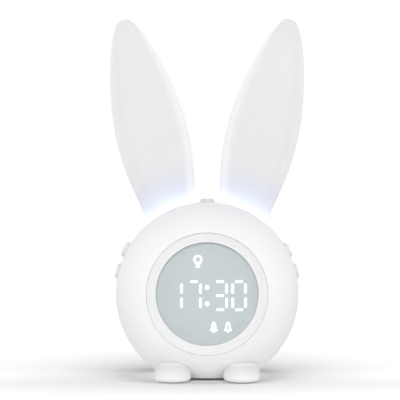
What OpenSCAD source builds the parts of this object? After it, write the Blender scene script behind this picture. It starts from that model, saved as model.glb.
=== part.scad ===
// Kids' alarm clock with a night light in two tall ears.
// The clock stands on the plane z = 0, faces -Y and is as wide as it is along X.
// Left and right are as someone facing the display sees them. Sizes are in millimetres.

/* [Ball] */
// Radius of the round body
ball_r = 47.5; // [47:0.1:49]
// Thickness of the body's wall
wall = 2.2; // [1.9:0.1:2.4]
// Radius of the flat under the body
base_flat_r = 22.6; // [21.5:0.1:23.5]
// Height of that flat above the surface that the clock stands on
base_gap = 1.2; // [1:0.1:1.6]
// Radius of the flat at the back
rear_flat_r = 24; // [23.5:0.1:24.5]
// Distance of the joint between the two shells behind the ball's centre
split = 15; // [14.8:0.1:16]
// Length of the rear shell's lip inside the front shell
lip_l = 2.4; // [1.8:0.1:2.5]
// Thickness of that lip
lip_t = 1; // [0.8:0.1:1.1]

/* [Front face] */
// Radius of the round opening that holds the bezel
face_r = 29.5; // [29.2:0.1:29.9]
// Width of the bezel's face between that opening and the window
bezel_w = 4.5; // [4.3:0.1:4.9]
// Depth of the bezel's outer edge behind the rim of the opening
bezel_step = 0.7; // [0.5:0.1:1]
// Further fall of the bezel's face towards the window
bezel_fall = 0.5; // [0.3:0.1:0.8]
// Thickness of the bezel's lip in front of the window
bezel_lip = 1; // [0.8:0.1:1.3]
// Width of the bezel's seat for the window, behind its lip
bezel_seat = 2.3; // [2:0.1:2.4]
// Thickness of the bezel's flange
bezel_flange = 1.5; // [1.2:0.1:1.8]
// Thickness of the window
glass_t = 1.6; // [1.2:0.1:2]

/* [Display] */
// Air between the window and the grey mask behind it
mask_air = 0.05; // [0.03:0.01:0.1]
// Thickness of that mask
mask_t = 0.4; // [0.3:0.1:0.6]
// Thickness of the light guide between the mask and the board
guide_t = 9.3; // [8.8:0.1:9.8]
// Height of a digit, between the middles of its top and bottom segments
digit_h = 13.6; // [13:0.1:14.2]
// Width of a digit, between the middles of its upright segments
digit_w = 6.2; // [6:0.1:6.4]
// Distance between the two digits of a pair
digit_pitch = 9.2; // [9:0.05:9.3]
// Distance between the middles of the two pairs of digits
pair_pitch = 21.9; // [21:0.1:22.2]
// Height of the digits' middle, measured from the window's centre
digits_z = -0.9; // [-1.5:0.1:0]
// Length of an upright segment
segment_v = 4.9; // [4.6:0.1:5.2]
// Length of a level segment
segment_h = 3.9; // [3.6:0.1:4.2]
// Width of a segment's bar
segment_t = 1.3; // [1.1:0.05:1.4]
// Radius of each dot of the colon
colon_r = 1.15; // [1:0.05:1.3]
// Distance between the two dots of the colon
colon_pitch = 7.9; // [7.4:0.1:8.4]
// Radius of the lamp icon's round part
lamp_icon_r = 2.25; // [2:0.05:2.4]
// Place of the lamp icon's round part in the window, across and up
lamp_icon_at = [-4.5, 16.7];
// Width of a bell icon
bell_w = 3.8; // [3.5:0.1:4.1]
// Height of a bell icon
bell_h = 5.7; // [5.4:0.1:6]
// Place of the first bell icon in the window, across and up
bell_icon_at = [3.2, -16];
// Distance between the two bell icons
bell_pitch = 6.9; // [6.6:0.1:7.3]
// Thickness of every printed circuit board but the display's
board_t = 1.2; // [1:0.1:1.4]
// Thickness of the display's board
display_board_t = 1.6; // [1.4:0.1:1.8]

/* [Ears] */
// Length of an ear from the ball to its tip
ear_l = 106.1; // [96:0.1:116]
// Greatest width of an ear
ear_w = 37.5; // [35.5:0.5:39.5]
// Half of an ear's thickness where it leaves the ball
ear_half_t = 8.5; // [8.2:0.1:9]
// Lean of an ear from the vertical, in degrees
ear_lean = 13.6; // [12.2:0.2:15]
// Angle from the vertical at which an ear's middle leaves the ball
ear_root_tilt = 23.6; // [23.2:0.2:24.2]
// Depth of the hollow in an ear's front face
ear_dish = 1.5; // [0.8:0.1:2]
// Thickness of an ear's wall
ear_wall = 1.6; // [1.2:0.1:1.8]
// Half of the width of the neck that goes into the body
neck_half_w = 9.5; // [9.2:0.1:9.8]
// Half of that neck's thickness
neck_half_t = 6.1; // [5.9:0.1:6.3]
// Depth of the neck's lower end inside the ball
neck_depth = 9.5; // [8.9:0.1:9.7]
// Thickness of the collar around the neck, inside the body
collar_t = 1.6; // [1.4:0.1:1.7]
// Thickness of the light base's flange
light_base_t = 1.6; // [1.4:0.1:1.8]
// Height of the light base's ring inside the neck
light_base_h = 5; // [4:0.2:5.4]

/* [Feet] */
// Radius of a foot
foot_r = 9; // [8.7:0.05:9.4]
// Height of a foot's dome
foot_h = 9.5; // [9:0.1:10]
// Place of each foot, to the side and ahead of the ball's centre: shares of the ball's radius
foot_at = [0.354, 0.59];
// Distance of a foot's peg behind the foot's middle
peg_behind = 5; // [4.6:0.1:5.2]
// Radius of the rubber pad under a foot
pad_r = 5; // [4.6:0.1:5.2]
// Thickness of that pad
pad_t = 1.3; // [1.1:0.1:1.5]
// Part of the pad that stands out below its foot
pad_proud = 0.3; // [0.2:0.1:0.5]
// Radius of a rubber pad under the body
rear_pad_r = 4.4; // [4:0.1:4.5]
// Distance of each of those pads from the middle, to the side
rear_pad_x = 14; // [12:0.2:15]
// Gap between those pads and the joint between the shells
rear_pad_gap = 0.6; // [0.4:0.1:2]
// Depth of the recess that a rear pad is glued into
rear_pad_recess = 0.6; // [0.4:0.1:0.8]
// Radius of the peg that holds a foot in the body
peg_r = 3; // [2.8:0.1:3.2]

/* [Buttons] */
// Radius of a side button's head
cap_r = 3.95; // [3.8:0.05:4.1]
// Angle of the middle between two side buttons above the level plane, in degrees
pair_tilt = 21; // [20.7:0.1:21.3]
// Distance between the middles of the two buttons on a side
cap_pitch = 11.8; // [11.6:0.05:12.2]
// Height of the upper left button above the ball
upper_left_rise = 2; // [1.6:0.1:2.4]
// Height of the other side buttons above the ball
side_rise = 1.3; // [1:0.1:1.6]
// Radius of the top button's head
top_cap_r = 3.8; // [3.6:0.1:4]
// Height of the top button above the ball
top_rise = 1.9; // [1.6:0.1:2.3]
// Depth of the finger scoop in the top button
top_scoop = 0.35; // [0.2:0.05:0.5]
// Rounding of the edge of a side button's head
cap_round = 1.1; // [0.9:0.05:1.3]
// Rounding of the edge of the top button's head
top_round = 1.7; // [1.5:0.05:1.8]
// Width of the flange that keeps a button in its hole
cap_flange_w = 0.9; // [0.7:0.05:1]
// Thickness of that flange
cap_flange_t = 1.2; // [1:0.1:1.4]
// Radius of a button's stem
stem_r = 1.7; // [1.5:0.1:1.9]
// Travel of a button
travel = 0.6; // [0.4:0.1:0.7]

/* [Switches] */
// Side of a push switch's square body
switch_w = 6; // [5.8:0.1:6.2]
// Height of that body
switch_h = 3.4; // [3.2:0.1:3.6]
// Radius of the switch's plunger
plunger_r = 1.7; // [1.5:0.1:1.8]
// Height of the plunger above the switch's body
plunger_up = 0.9; // [0.8:0.1:1.1]
// Depth of the plunger inside the switch's body
plunger_in = 1.6; // [1.4:0.1:1.8]
// Depth of the side switch boards' outer faces inside the ball
side_board_depth = 11.5; // [11.3:0.1:11.7]
// Depth of the top switch board's upper face inside the ball
top_board_depth = 13.3; // [13:0.1:13.6]

/* [Back] */
// Radius of the speaker
speaker_r = 14.2; // [13.8:0.1:14.4]
// Height of the speaker's centre above the ball's centre
speaker_z = 0; // [-0.4:0.2:1]
// Depth of the speaker's seat inside the back wall
speaker_seat = 3.2; // [3:0.1:3.6]
// Radius of one hole of the speaker grille
grille_hole_r = 0.9; // [0.7:0.05:1.1]
// Distance between neighbouring rings of grille holes
grille_pitch = 3.2; // [3:0.1:3.4]
// Number of rings of holes around the middle one
grille_rings = 3; // [2:1:3]
// Width of the charging socket
usb_w = 8.94; // [8.8:0.02:9.1]
// Height of the charging socket
usb_h = 3.26; // [3.1:0.02:3.4]
// Length of the charging socket
usb_l = 7.3; // [7:0.1:7.8]
// Thickness of the socket's metal
usb_wall = 0.3; // [0.25:0.01:0.35]
// Height of the socket's middle above the lower edge of the flat at the back
usb_rise = 4; // [3.8:0.1:4.2]

/* [Battery] */
// Length, width and height of the battery cell
cell_size = [40, 30, 10];
// Thickness of the tray's floor
tray_floor = 1.5; // [1.2:0.1:1.8]
// Thickness of the tray's walls
tray_wall = 1.2; // [1:0.1:1.4]
// Height of the tray's walls above its floor
tray_rim = 5; // [4:0.2:6]
// Thickness of the foam between the cell and the tray
foam_t = 1; // [0.6:0.1:1.2]
// Height of the tray's underside above the flat under the body
tray_up = 8.3; // [8:0.1:8.6]
// Gap between the tray and the foot bosses or the display's board in front of it
tray_gap = 0.4; // [0.3:0.1:0.6]

/* [Fasteners] */
// Radius of a small screw's shank
small_screw_r = 1; // [0.9:0.05:1.1]
// Radius of a small screw's head
small_head_r = 1.8; // [1.7:0.05:1.9]
// Length of a small screw's shank
small_screw_l = 5; // [4.4:0.2:5.4]
// Radius of a case screw's shank
case_screw_r = 1.25; // [1.15:0.05:1.35]
// Radius of a case screw's head
case_head_r = 2.3; // [2.2:0.05:2.4]
// Length of a case screw's shank
case_screw_l = 16; // [14:0.5:18]
// Distance of the case screws inside the wall, at the joint between the shells
case_screw_in = 4.1; // [4.1:0.1:4.4]
// Depth of a case screw's head behind the joint between the shells
case_head_at = 5; // [4.6:0.2:5.6]
// Radius of a foot screw's washer head
foot_head_r = 4; // [3.6:0.1:4.2]
// Height of every screw's head
head_h = 1.3; // [1.1:0.1:1.4]

/* [Clearances] */
// Gap between a fixed part and the part that holds it
fit = 0.1; // [0.08:0.01:0.15]
// Gap around a part that is dropped into its place
loose = 0.25; // [0.2:0.01:0.3]
// Gap around a button in its hole
run = 0.3; // [0.25:0.01:0.35]
// Gap between an ear or a foot and the ball that it is scribed to
seat = 0.05; // [0.04:0.01:0.08]

/* [Hidden] */

$fn = 96;
// Facets of small round parts
small_fn = 32;
// Overlap of a cut past the surface that it opens, and of a boss into its wall
past = 1;
// Length of the lip's root behind the joint between the shells
lip_root = 3;
// Skin left outside a boss that merges with the ball's wall
skin = 0.5;

// Ball
inner_r = ball_r - wall;
joint_r = sqrt(pow(inner_r, 2) - pow(split, 2));
front_at = sqrt(pow(ball_r, 2) - pow(face_r, 2));
rear_at = sqrt(pow(ball_r, 2) - pow(rear_flat_r, 2));
base_at = sqrt(pow(ball_r, 2) - pow(base_flat_r, 2));
foot_x = foot_at[0] * ball_r;
foot_ahead = foot_at[1] * ball_r;
// The clock's box ends at the face, or at the feet where they stand out ahead of it
ball_y = (max(front_at, foot_ahead + foot_r) - rear_at) / 2;
ball_z = base_at + base_gap;

// Front face: the window's radius, and distances ahead of the ball's centre
glass_r = face_r - bezel_w;
bezel_at = front_at - bezel_step;
glass_at = bezel_at - bezel_fall - bezel_lip;
mask_at = glass_at - glass_t;
ledge_at = mask_at - mask_t;
flange_at = ledge_at - bezel_flange;
board_at = ledge_at - guide_t;
board_back_at = board_at - display_board_t;
seat_r = glass_r + bezel_seat;
flange_r = sqrt(pow(inner_r, 2) - pow(ledge_at, 2)) - loose;
ledge_wall = 3;
guide_flange_r = flange_r - 0.7;
guide_rim_t = 2;
bezel_groove = 0.25;

// Display board and its bosses
board_boss_r = 2.4;
board_screw_at = flange_r + loose + board_boss_r;
board_r = board_screw_at + board_boss_r;
board_boss_front = flange_at + bezel_flange / 2;
board_angles = [90, 210, 330];

// Case screws: their angles around the axis through the display
case_angles = [42, 138, 218, 322];
case_screw_at = joint_r - case_screw_in;
case_boss_r = case_screw_r + 1.25;
case_rear_boss_r = case_head_r + loose + 1.4;
case_boss_gap = 1.4;
case_boss_front = board_back_at - case_boss_gap;
case_rib_t = 1.4;

// Ears
ear_across = [cos(ear_lean), -sin(ear_lean)];
ear_along = [sin(ear_lean), cos(ear_lean)];
ear_root = ball_r * [sin(ear_root_tilt), cos(ear_root_tilt)];
// The two edges of an ear, as the control points of a curve: shares of its width and length
ear_edge_in = [[-0.32, -0.04], [-0.45, 0.19], [-0.68, 0.4], [-0.42, 0.68], [-0.21, 0.99], [0, 1]];
ear_edge_out = [[0.34, -0.08], [0.41, 0.2], [0.81, 0.4], [0.34, 0.66], [0.35, 1.01], [0, 1]];
ear_columns = 32;
ear_rings = 20;
ear_inner_rings = 12;
ear_inner_end = 0.9;
// Power that squares the ear's oval section a little
ear_square = 0.78;
// Share of its thickness that the ear loses towards the tip, and the power that rounds the tip
ear_taper = 0.42;
tip_power = 8;
ear_seat_r = ball_r + seat;
neck_end = ball_r - neck_depth;
light_board_at = neck_end + light_base_h;
light_ring_wall = 1.2;
cable_hole_r = 2;
plug_in = ear_wall + fit;
ear_boss_r = small_screw_r + 1.2;
ear_screw_y = neck_half_t + loose + collar_t + ear_boss_r - 0.15;

// Feet
foot_power = 0.7;
// Width and height of the rounding between a foot's widest part and the rim around its pad
foot_edge = [foot_r - pad_r - 0.6, 2.2];
foot_edge_steps = 5;
foot_steps = 14;
rear_pad_behind = split - rear_pad_r - rear_pad_gap;
foot_boss_r = peg_r + loose + 1.6;
peg_ahead = foot_ahead - peg_behind;
// The washer head on each foot's boss just clears the wall
foot_head_reach = norm([foot_x, peg_ahead]) + foot_head_r;
peg_top = sqrt(pow(inner_r - loose, 2) - pow(foot_head_reach, 2));

// Buttons and switches
cap_flange_top = sqrt(pow(inner_r, 2) - pow(cap_r + cap_flange_w, 2)) - loose;
top_flange_top = sqrt(pow(inner_r, 2) - pow(top_cap_r + cap_flange_w, 2)) - loose;
side_board_at = ball_r - side_board_depth;
top_board_at = ball_r - top_board_depth;
side_fan = asin(cap_pitch / 2 / ball_r);
upper_tilt = pair_tilt + side_fan;
lower_tilt = pair_tilt - side_fan;
stem_from = cap_flange_top - cap_flange_t / 2;
switch_u = stem_from * sin(side_fan);
plunger_top_side = side_board_at + switch_h + plunger_up;
plunger_top_top = top_board_at + switch_h + plunger_up;
switch_edge = 0.6;
side_board_half = [switch_u + switch_w / 2 + switch_edge, 8.2];
top_board_half = [5, 10];
side_screw_y = 5.6;
top_screw_y = 7.6;
switch_boss_r = small_screw_r + 1.1;

// Back
back_wall_at = rear_at - wall;
speaker_flange_at = back_wall_at - speaker_seat;
speaker_flange_t = 1.2;
basket_r = speaker_r - 1.6;
basket_depth = 7.5;
magnet_r = 8;
magnet_t = 5;
cone_t = 0.4;
cone_clear = 3.4;
cone_rim = 1.6;
clamp_t = 1.2;
clamp_at = speaker_flange_at - speaker_flange_t;
locating_t = 1.5;
clamp_screw_out = 4;
clamp_screw_at = speaker_r + clamp_screw_out;
clamp_boss_r = small_screw_r + 1.3;
clamp_angles = [90, 210, 330];
charging_board_size = [20, 12.5];
usb_down = rear_flat_r - usb_rise;
charging_board_z = -usb_down - usb_h / 2;
// Its rear corners just clear the wall
charging_board_rear = sqrt(pow(inner_r - loose, 2) - pow(charging_board_z - board_t, 2)
    - pow(charging_board_size[0] / 2, 2));
charging_screw_x = 6.5;
charging_screw_y = charging_board_rear - 0.72 * charging_board_size[1];
usb_inset = 0.3;
usb_at = rear_at - usb_inset;

// Battery
tray_size = [cell_size[0] + 2 * (loose + tray_wall), cell_size[1] + 2 * (loose + tray_wall)];
tray_screw_x = tray_size[0] / 2 + small_head_r + 0.5;
tray_post_r = small_screw_r + 1.4;
tray_down = base_at - tray_up;
// The tray stands behind the foot bosses and the display's board, with its front corners off the wall
tray_corner_at = sqrt(pow(inner_r - loose, 2) - pow(tray_down, 2) - pow(tray_size[0] / 2, 2));
tray_y = tray_size[1] / 2 - min(peg_ahead - foot_boss_r, board_back_at, tray_corner_at) + tray_gap;
foam_margin = 2;
cell_edge = 2;

// Moves to the ball's centre
module at_ball() {
    translate([0, ball_y, ball_z]) children();
}

// Turns +Z to -Y, so that a flat shape stands upright and grows towards the front
module to_front() {
    rotate([90, 0, 0]) children();
}

// Turns +Z to +Y, towards the back
module to_back() {
    rotate([-90, 0, 0]) children();
}

// Mirrors the right side's shape to the left for side = -1
module on_side(side) {
    mirror([side < 0 ? 1 : 0, 0, 0]) children();
}

// Points +Z outwards at an angle above the level plane, on one side
module outwards(side, tilt) {
    on_side(side) rotate([0, 90 - tilt, 0]) children();
}

// Points +Z along an ear's neck
module along_neck(side) {
    on_side(side) rotate([0, ear_root_tilt, 0]) children();
}

module tube(r, bore, h) {
    difference() {
        cylinder(h = h, r = r);
        translate([0, 0, -past]) cylinder(h = h + 2 * past, r = bore);
    }
}

// Long rounded outline: half of its length and half of its width
module stadium(half_w, half_t) {
    square([2 * (half_w - half_t), 2 * half_t], center = true);
    for (end = [-1, 1]) {
        translate([end * (half_w - half_t), 0]) circle(r = half_t);
    }
}

// The ball with its three flats, grown or shrunk all over
module ball_body(grow) {
    reach = ball_r + past;
    intersection() {
        sphere(r = ball_r + grow);
        translate([-reach, -front_at - grow, -base_at - grow])
            cube([2 * reach, front_at + rear_at + 2 * grow, base_at + reach + grow]);
    }
}

module hollow_ball() {
    difference() {
        ball_body(0);
        ball_body(-wall);
    }
}

// Everything behind a plane across the clock
module behind(y) {
    reach = 2 * ball_r;
    translate([-reach, y, -reach]) cube([2 * reach, 2 * reach, 2 * reach]);
}

// Everything in front of that plane
module ahead(y) {
    reach = 2 * ball_r;
    translate([-reach, y - 2 * reach, -reach]) cube([2 * reach, 2 * reach, 2 * reach]);
}

module at_case_screws() {
    for (angle = case_angles) {
        rotate([0, -angle, 0]) translate([case_screw_at, 0, 0]) children();
    }
}

module at_board_screws() {
    for (angle = board_angles) {
        rotate([0, -angle, 0]) translate([board_screw_at, 0, 0]) children();
    }
}

module at_ear_screws(side) {
    along_neck(side) for (end = [-1, 1]) {
        translate([0, end * ear_screw_y, 0]) children();
    }
}

module at_side_board_screws(side) {
    outwards(side, pair_tilt) for (end = [-1, 1]) {
        translate([0, end * side_screw_y, side_board_at]) children();
    }
}

module at_top_board_screws() {
    for (end = [-1, 1]) {
        translate([0, end * top_screw_y, top_board_at]) children();
    }
}

// Moves to the middle of the tray's underside
module at_tray() {
    translate([0, tray_y, -tray_down]) children();
}

module at_tray_screws() {
    at_tray() for (end = [-1, 1]) {
        translate([end * tray_screw_x, 0, 0]) children();
    }
}

module at_clamp_screws() {
    for (angle = clamp_angles) {
        translate([clamp_screw_at * cos(angle), 0, speaker_z + clamp_screw_at * sin(angle)])
            children();
    }
}

module at_charging_screws() {
    for (end = [-1, 1]) {
        translate([end * charging_screw_x, charging_screw_y, charging_board_z]) children();
    }
}

module at_pegs() {
    for (side = [-1, 1]) {
        translate([side * foot_x, -peg_ahead, 0]) children();
    }
}

module at_rear_pads() {
    for (side = [-1, 1]) {
        translate([side * rear_pad_x, rear_pad_behind, -base_at]) children();
    }
}

// Bosses inside the front shell, before they are trimmed to the ball
module front_bosses() {
    // Ledge that the bezel's flange sits behind
    translate([0, -ledge_at, 0]) to_front() cylinder(h = front_at - ledge_at, r = face_r + ledge_wall);
    at_board_screws() translate([0, -board_at, 0]) to_front()
        cylinder(h = board_boss_front - board_at, r = board_boss_r);
    at_case_screws() translate([0, -case_boss_front, 0]) {
        to_back() cylinder(h = case_boss_front + split, r = case_boss_r);
        // Rib that ties the boss to the wall, ahead of the rear shell's lip
        translate([0, 0, -case_rib_t / 2])
            cube([ball_r - case_screw_at, case_boss_front + split - lip_l - fit, case_rib_t]);
    }
    for (side = [-1, 1]) {
        along_neck(side) translate([0, 0, neck_end]) linear_extrude(ball_r - neck_end)
            stadium(neck_half_w + loose + collar_t, neck_half_t + loose + collar_t);
        at_ear_screws(side) translate([0, 0, neck_end])
            cylinder(h = ball_r - neck_end, r = ear_boss_r);
        at_side_board_screws(side) cylinder(h = ball_r - side_board_at, r = switch_boss_r);
    }
    at_top_board_screws() cylinder(h = ball_r - top_board_at, r = switch_boss_r);
    at_pegs() translate([0, 0, -ball_r]) cylinder(h = ball_r - peg_top, r = foot_boss_r);
    at_tray_screws() translate([0, 0, tray_down - ball_r])
        cylinder(h = ball_r - tray_down, r = tray_post_r);
}

module front_shell() {
    color("white") at_ball() difference() {
        union() {
            intersection() {
                hollow_ball();
                ahead(split);
            }
            intersection() {
                ball_body(-skin);
                front_bosses();
            }
        }
        translate([0, -ledge_at + past, 0]) to_front() cylinder(h = ball_r, r = face_r);
        for (side = [-1, 1]) {
            along_neck(side) translate([0, 0, neck_end - past]) linear_extrude(ball_r)
                stadium(neck_half_w + loose, neck_half_t + loose);
            at_ear_screws(side) translate([0, 0, neck_end - past])
                cylinder(h = small_screw_l - light_base_t + 2 * past, r = small_screw_r + fit / 2);
            at_side_board_screws(side) translate([0, 0, -past])
                cylinder(h = small_screw_l - board_t + 2 * past, r = small_screw_r + fit / 2);
            for (tilt = [upper_tilt, lower_tilt]) {
                outwards(side, tilt) translate([0, 0, inner_r - 2 * past])
                    cylinder(h = ball_r, r = cap_r + run);
            }
        }
        at_top_board_screws() translate([0, 0, -past])
            cylinder(h = small_screw_l - board_t + 2 * past, r = small_screw_r + fit / 2);
        translate([0, 0, inner_r - 2 * past]) cylinder(h = ball_r, r = top_cap_r + run);
        at_board_screws() translate([0, -board_at + past, 0]) to_front()
            cylinder(h = small_screw_l - display_board_t + 2 * past, r = small_screw_r + fit / 2);
        at_case_screws() translate([0, split + past, 0]) to_front()
            cylinder(h = case_screw_l - case_head_at + 2 * past, r = case_screw_r + fit / 2);
        at_pegs() translate([0, 0, -ball_r - past])
            cylinder(h = ball_r - peg_top + 2 * past, r = peg_r + loose);
        at_tray_screws() translate([0, 0, past]) mirror([0, 0, 1])
            cylinder(h = small_screw_l - tray_floor + 2 * past, r = small_screw_r + fit / 2);
        at_rear_pads() translate([0, 0, -past])
            cylinder(h = rear_pad_recess + past, r = rear_pad_r + fit);
    }
}

// Bosses inside the rear shell, before they are trimmed to the ball
module rear_bosses() {
    at_case_screws() translate([0, split, 0]) to_back()
        cylinder(h = ball_r, r = case_rear_boss_r);
    translate([0, clamp_at, speaker_z]) to_back()
        cylinder(h = ball_r - clamp_at, r = speaker_r + loose + locating_t);
    at_clamp_screws() translate([0, clamp_at, 0]) to_back()
        cylinder(h = ball_r - clamp_at, r = clamp_boss_r);
    at_charging_screws() translate([0, 0, -board_t - ball_r])
        cylinder(h = ball_r, r = clamp_boss_r);
}

// Lip that slides into the front shell, and its root in the rear shell's wall
module rear_lip() {
    lip_r = joint_r - fit;
    intersection() {
        ball_body(-wall - fit);
        translate([0, split - lip_l, 0]) to_back() tube(lip_r, lip_r - lip_t, lip_l + lip_root);
    }
    intersection() {
        ball_body(-skin);
        translate([0, split + fit, 0]) to_back() tube(lip_r, lip_r - lip_t, lip_root);
    }
}

module grille_holes() {
    to_back() cylinder(h = ball_r, r = grille_hole_r, $fn = small_fn);
    for (ring = [1 : grille_rings], k = [0 : 6 * ring - 1]) {
        angle = k * 60 / ring;
        translate([ring * grille_pitch * cos(angle), 0, ring * grille_pitch * sin(angle)])
            to_back() cylinder(h = ball_r, r = grille_hole_r, $fn = small_fn);
    }
}

module rear_shell() {
    color("white") at_ball() {
        difference() {
            union() {
                intersection() {
                    hollow_ball();
                    behind(split);
                }
                rear_lip();
                intersection() {
                    ball_body(-skin);
                    rear_bosses();
                }
            }
            // Hollow behind the speaker's seat, and the step that locates its flange
            translate([0, clamp_at - past, speaker_z]) to_back()
                cylinder(h = speaker_flange_t + past, r = speaker_r + loose);
            translate([0, clamp_at, speaker_z]) to_back()
                cylinder(h = back_wall_at - clamp_at, r = speaker_r - speaker_flange_t);
            translate([0, back_wall_at - past, speaker_z]) grille_holes();
            at_case_screws() {
                translate([0, split - past, 0]) to_back()
                    cylinder(h = ball_r, r = case_screw_r + loose);
                translate([0, split + case_head_at, 0]) to_back()
                    cylinder(h = ball_r, r = case_head_r + loose);
            }
            at_clamp_screws() translate([0, clamp_at - past, 0]) to_back()
                cylinder(h = small_screw_l - clamp_t + 2 * past, r = small_screw_r + fit / 2);
            at_charging_screws() translate([0, 0, past - board_t]) mirror([0, 0, 1])
                cylinder(h = small_screw_l - board_t + 2 * past, r = small_screw_r + fit / 2);
            translate([0, back_wall_at - past, -usb_down]) to_back() linear_extrude(ball_r)
                stadium(usb_w / 2 + loose, usb_h / 2 + loose);
        }
    }
}

module bezel_ring() {
    outer_r = face_r - fit;
    color("white") at_ball() to_front() rotate_extrude() difference() {
        polygon([
            [glass_r, glass_at], [glass_r, bezel_at - bezel_fall],
            [outer_r, bezel_at], [outer_r, ledge_at], [flange_r, ledge_at],
            [flange_r, flange_at], [seat_r, flange_at], [seat_r, glass_at],
        ]);
        // Three fine grooves around the bezel's face
        for (k = [1 : 3]) {
            share = k / 4;
            translate([glass_r + share * (outer_r - glass_r), bezel_at - bezel_fall * (1 - share)])
                circle(r = bezel_groove, $fn = small_fn);
        }
    }
}

module display_window() {
    color("lightcyan", 0.4) at_ball() translate([0, -mask_at - mask_air, 0]) to_front()
        cylinder(h = glass_t - mask_air, r = seat_r - fit);
}

// A bar with cut corners, grown all over
module segment_bar(length, grow) {
    l = length / 2 + grow;
    t = segment_t / 2 + grow;
    c = segment_t / 4;
    polygon([
        [-l, -t + c], [-l + c, -t], [l - c, -t], [l, -t + c],
        [l, t - c], [l - c, t], [-l + c, t], [-l, t - c],
    ]);
}

// Middle of each segment and whether it is upright: top, right pair, bottom, left pair, middle
segment_places = [
    [0, digit_h / 2, false], [digit_w / 2, digit_h / 4, true], [digit_w / 2, -digit_h / 4, true],
    [0, -digit_h / 2, false], [-digit_w / 2, -digit_h / 4, true], [-digit_w / 2, digit_h / 4, true],
    [0, 0, false],
];
// Their usual letters, and those that are lit in each of the four digits, for the time 17:30
segment_letters = "abcdefg";
lit_segments = ["bc", "abc", "abcdg", "abcdef"];
digit_places = [
    -(pair_pitch + digit_pitch) / 2, -(pair_pitch - digit_pitch) / 2,
    (pair_pitch - digit_pitch) / 2, (pair_pitch + digit_pitch) / 2,
];

function is_lit(digit, segment) = len(search(segment_letters[segment], lit_segments[digit])) > 0;

// Puts its children at every segment of one state, drawn in the window's plane
module at_segments(lit) {
    for (digit = [0 : 3], segment = [0 : 6]) {
        place = segment_places[segment];
        if (is_lit(digit, segment) == lit) {
            translate([digit_places[digit] + place[0], digits_z + place[1]])
                rotate(place[2] ? 90 : 0) segment_bar(place[2] ? segment_v : segment_h, $grow);
        }
    }
}

module colon(grow) {
    for (end = [-1, 1]) {
        translate([0, digits_z + end * colon_pitch / 2])
            circle(r = colon_r + grow, $fn = small_fn);
    }
}

module lit_shapes(grow) {
    $grow = grow;
    at_segments(true);
    colon(grow);
}

module unlit_shapes(grow) {
    $grow = grow;
    at_segments(false);
}

module lamp_icon() {
    stroke = 0.45 * lamp_icon_r;
    cap_w = 1.15 * lamp_icon_r;
    cap_t = 0.3 * lamp_icon_r;
    translate(lamp_icon_at) {
        difference() {
            circle(r = lamp_icon_r, $fn = small_fn);
            circle(r = lamp_icon_r - stroke, $fn = small_fn);
        }
        for (k = [0 : 2]) {
            width = cap_w * (1 - 0.15 * k);
            translate([-width / 2, -lamp_icon_r - 0.1 * lamp_icon_r - k * 1.25 * cap_t])
                square([width, cap_t]);
        }
    }
}

// Small upright number in a bell: 1 is a bar, 2 is a bent line
module bell_number(number) {
    t = 0.13 * bell_w;
    h = 0.4 * bell_h;
    w = 0.3 * bell_w;
    if (number == 1) {
        square([t, h], center = true);
    } else {
        for (k = [-1, 0, 1]) {
            translate([0, k * (h - t) / 2]) square([w, t], center = true);
        }
        translate([(w - t) / 2, (h - t) / 4]) square([t, h / 2], center = true);
        translate([-(w - t) / 2, -(h - t) / 4]) square([t, h / 2], center = true);
    }
}

module bell_icon(number) {
    crown_r = 0.3 * bell_w;
    crown_z = 0.2 * bell_h;
    difference() {
        polygon(concat(
            [for (angle = [0 : 15 : 180]) [crown_r * cos(angle), crown_z + crown_r * sin(angle)]],
            [
                [-0.36 * bell_w, -0.12 * bell_h], [-0.5 * bell_w, -0.24 * bell_h],
                [-0.5 * bell_w, -0.36 * bell_h], [0.5 * bell_w, -0.36 * bell_h],
                [0.5 * bell_w, -0.24 * bell_h], [0.36 * bell_w, -0.12 * bell_h],
            ]
        ));
        bell_number(number);
    }
    translate([0, crown_z + crown_r]) circle(r = 0.08 * bell_h, $fn = small_fn);
    translate([0, -0.38 * bell_h]) circle(r = 0.12 * bell_h, $fn = small_fn);
}

module icon_shapes() {
    lamp_icon();
    for (k = [0, 1]) {
        translate(bell_icon_at + [k * bell_pitch, 0]) bell_icon(k + 1);
    }
}

module display_mask() {
    color("lightsteelblue") at_ball() translate([0, -ledge_at, 0]) to_front()
        linear_extrude(mask_t) difference() {
            circle(r = seat_r - fit);
            lit_shapes(0);
            unlit_shapes(0);
            icon_shapes();
        }
}

module segments_lit() {
    color("white") at_ball() translate([0, -ledge_at, 0]) to_front()
        linear_extrude(mask_t) lit_shapes(0);
}

module segments_unlit() {
    color("lightsteelblue") at_ball() translate([0, -ledge_at, 0]) to_front()
        linear_extrude(mask_t) unlit_shapes(0);
}

module icon_windows() {
    color("white") at_ball() translate([0, -ledge_at, 0]) to_front()
        linear_extrude(mask_t) icon_shapes();
}

// Room around each foot's boss and the washer head on it
module foot_notches() {
    at_pegs() translate([0, 0, -ball_r])
        cylinder(h = ball_r - peg_top + head_h + loose, r = foot_boss_r + loose);
}

// Places of the light cells of the icons, across and up, and the radius of each cell
icon_cells = [
    [lamp_icon_at + [0, -0.4 * lamp_icon_r], 1.75 * lamp_icon_r],
    [bell_icon_at, 0.56 * bell_h],
    [bell_icon_at + [bell_pitch, 0], 0.56 * bell_h],
];

module light_guide() {
    cell_grow = 0.05;
    rim_at = flange_at - board_at;
    color("whitesmoke") at_ball() difference() {
        translate([0, -board_at, 0]) to_front() {
            cylinder(h = guide_t, r = seat_r - loose);
            translate([0, 0, rim_at - guide_rim_t]) cylinder(h = guide_rim_t, r = guide_flange_r);
        }
        // One cell leads to each lit shape
        translate([0, past - board_at, 0]) to_front() linear_extrude(guide_t + 2 * past) {
            lit_shapes(cell_grow);
            unlit_shapes(cell_grow);
            for (cell = icon_cells) {
                translate(cell[0]) circle(r = cell[1], $fn = small_fn);
            }
        }
        foot_notches();
    }
}

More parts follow.
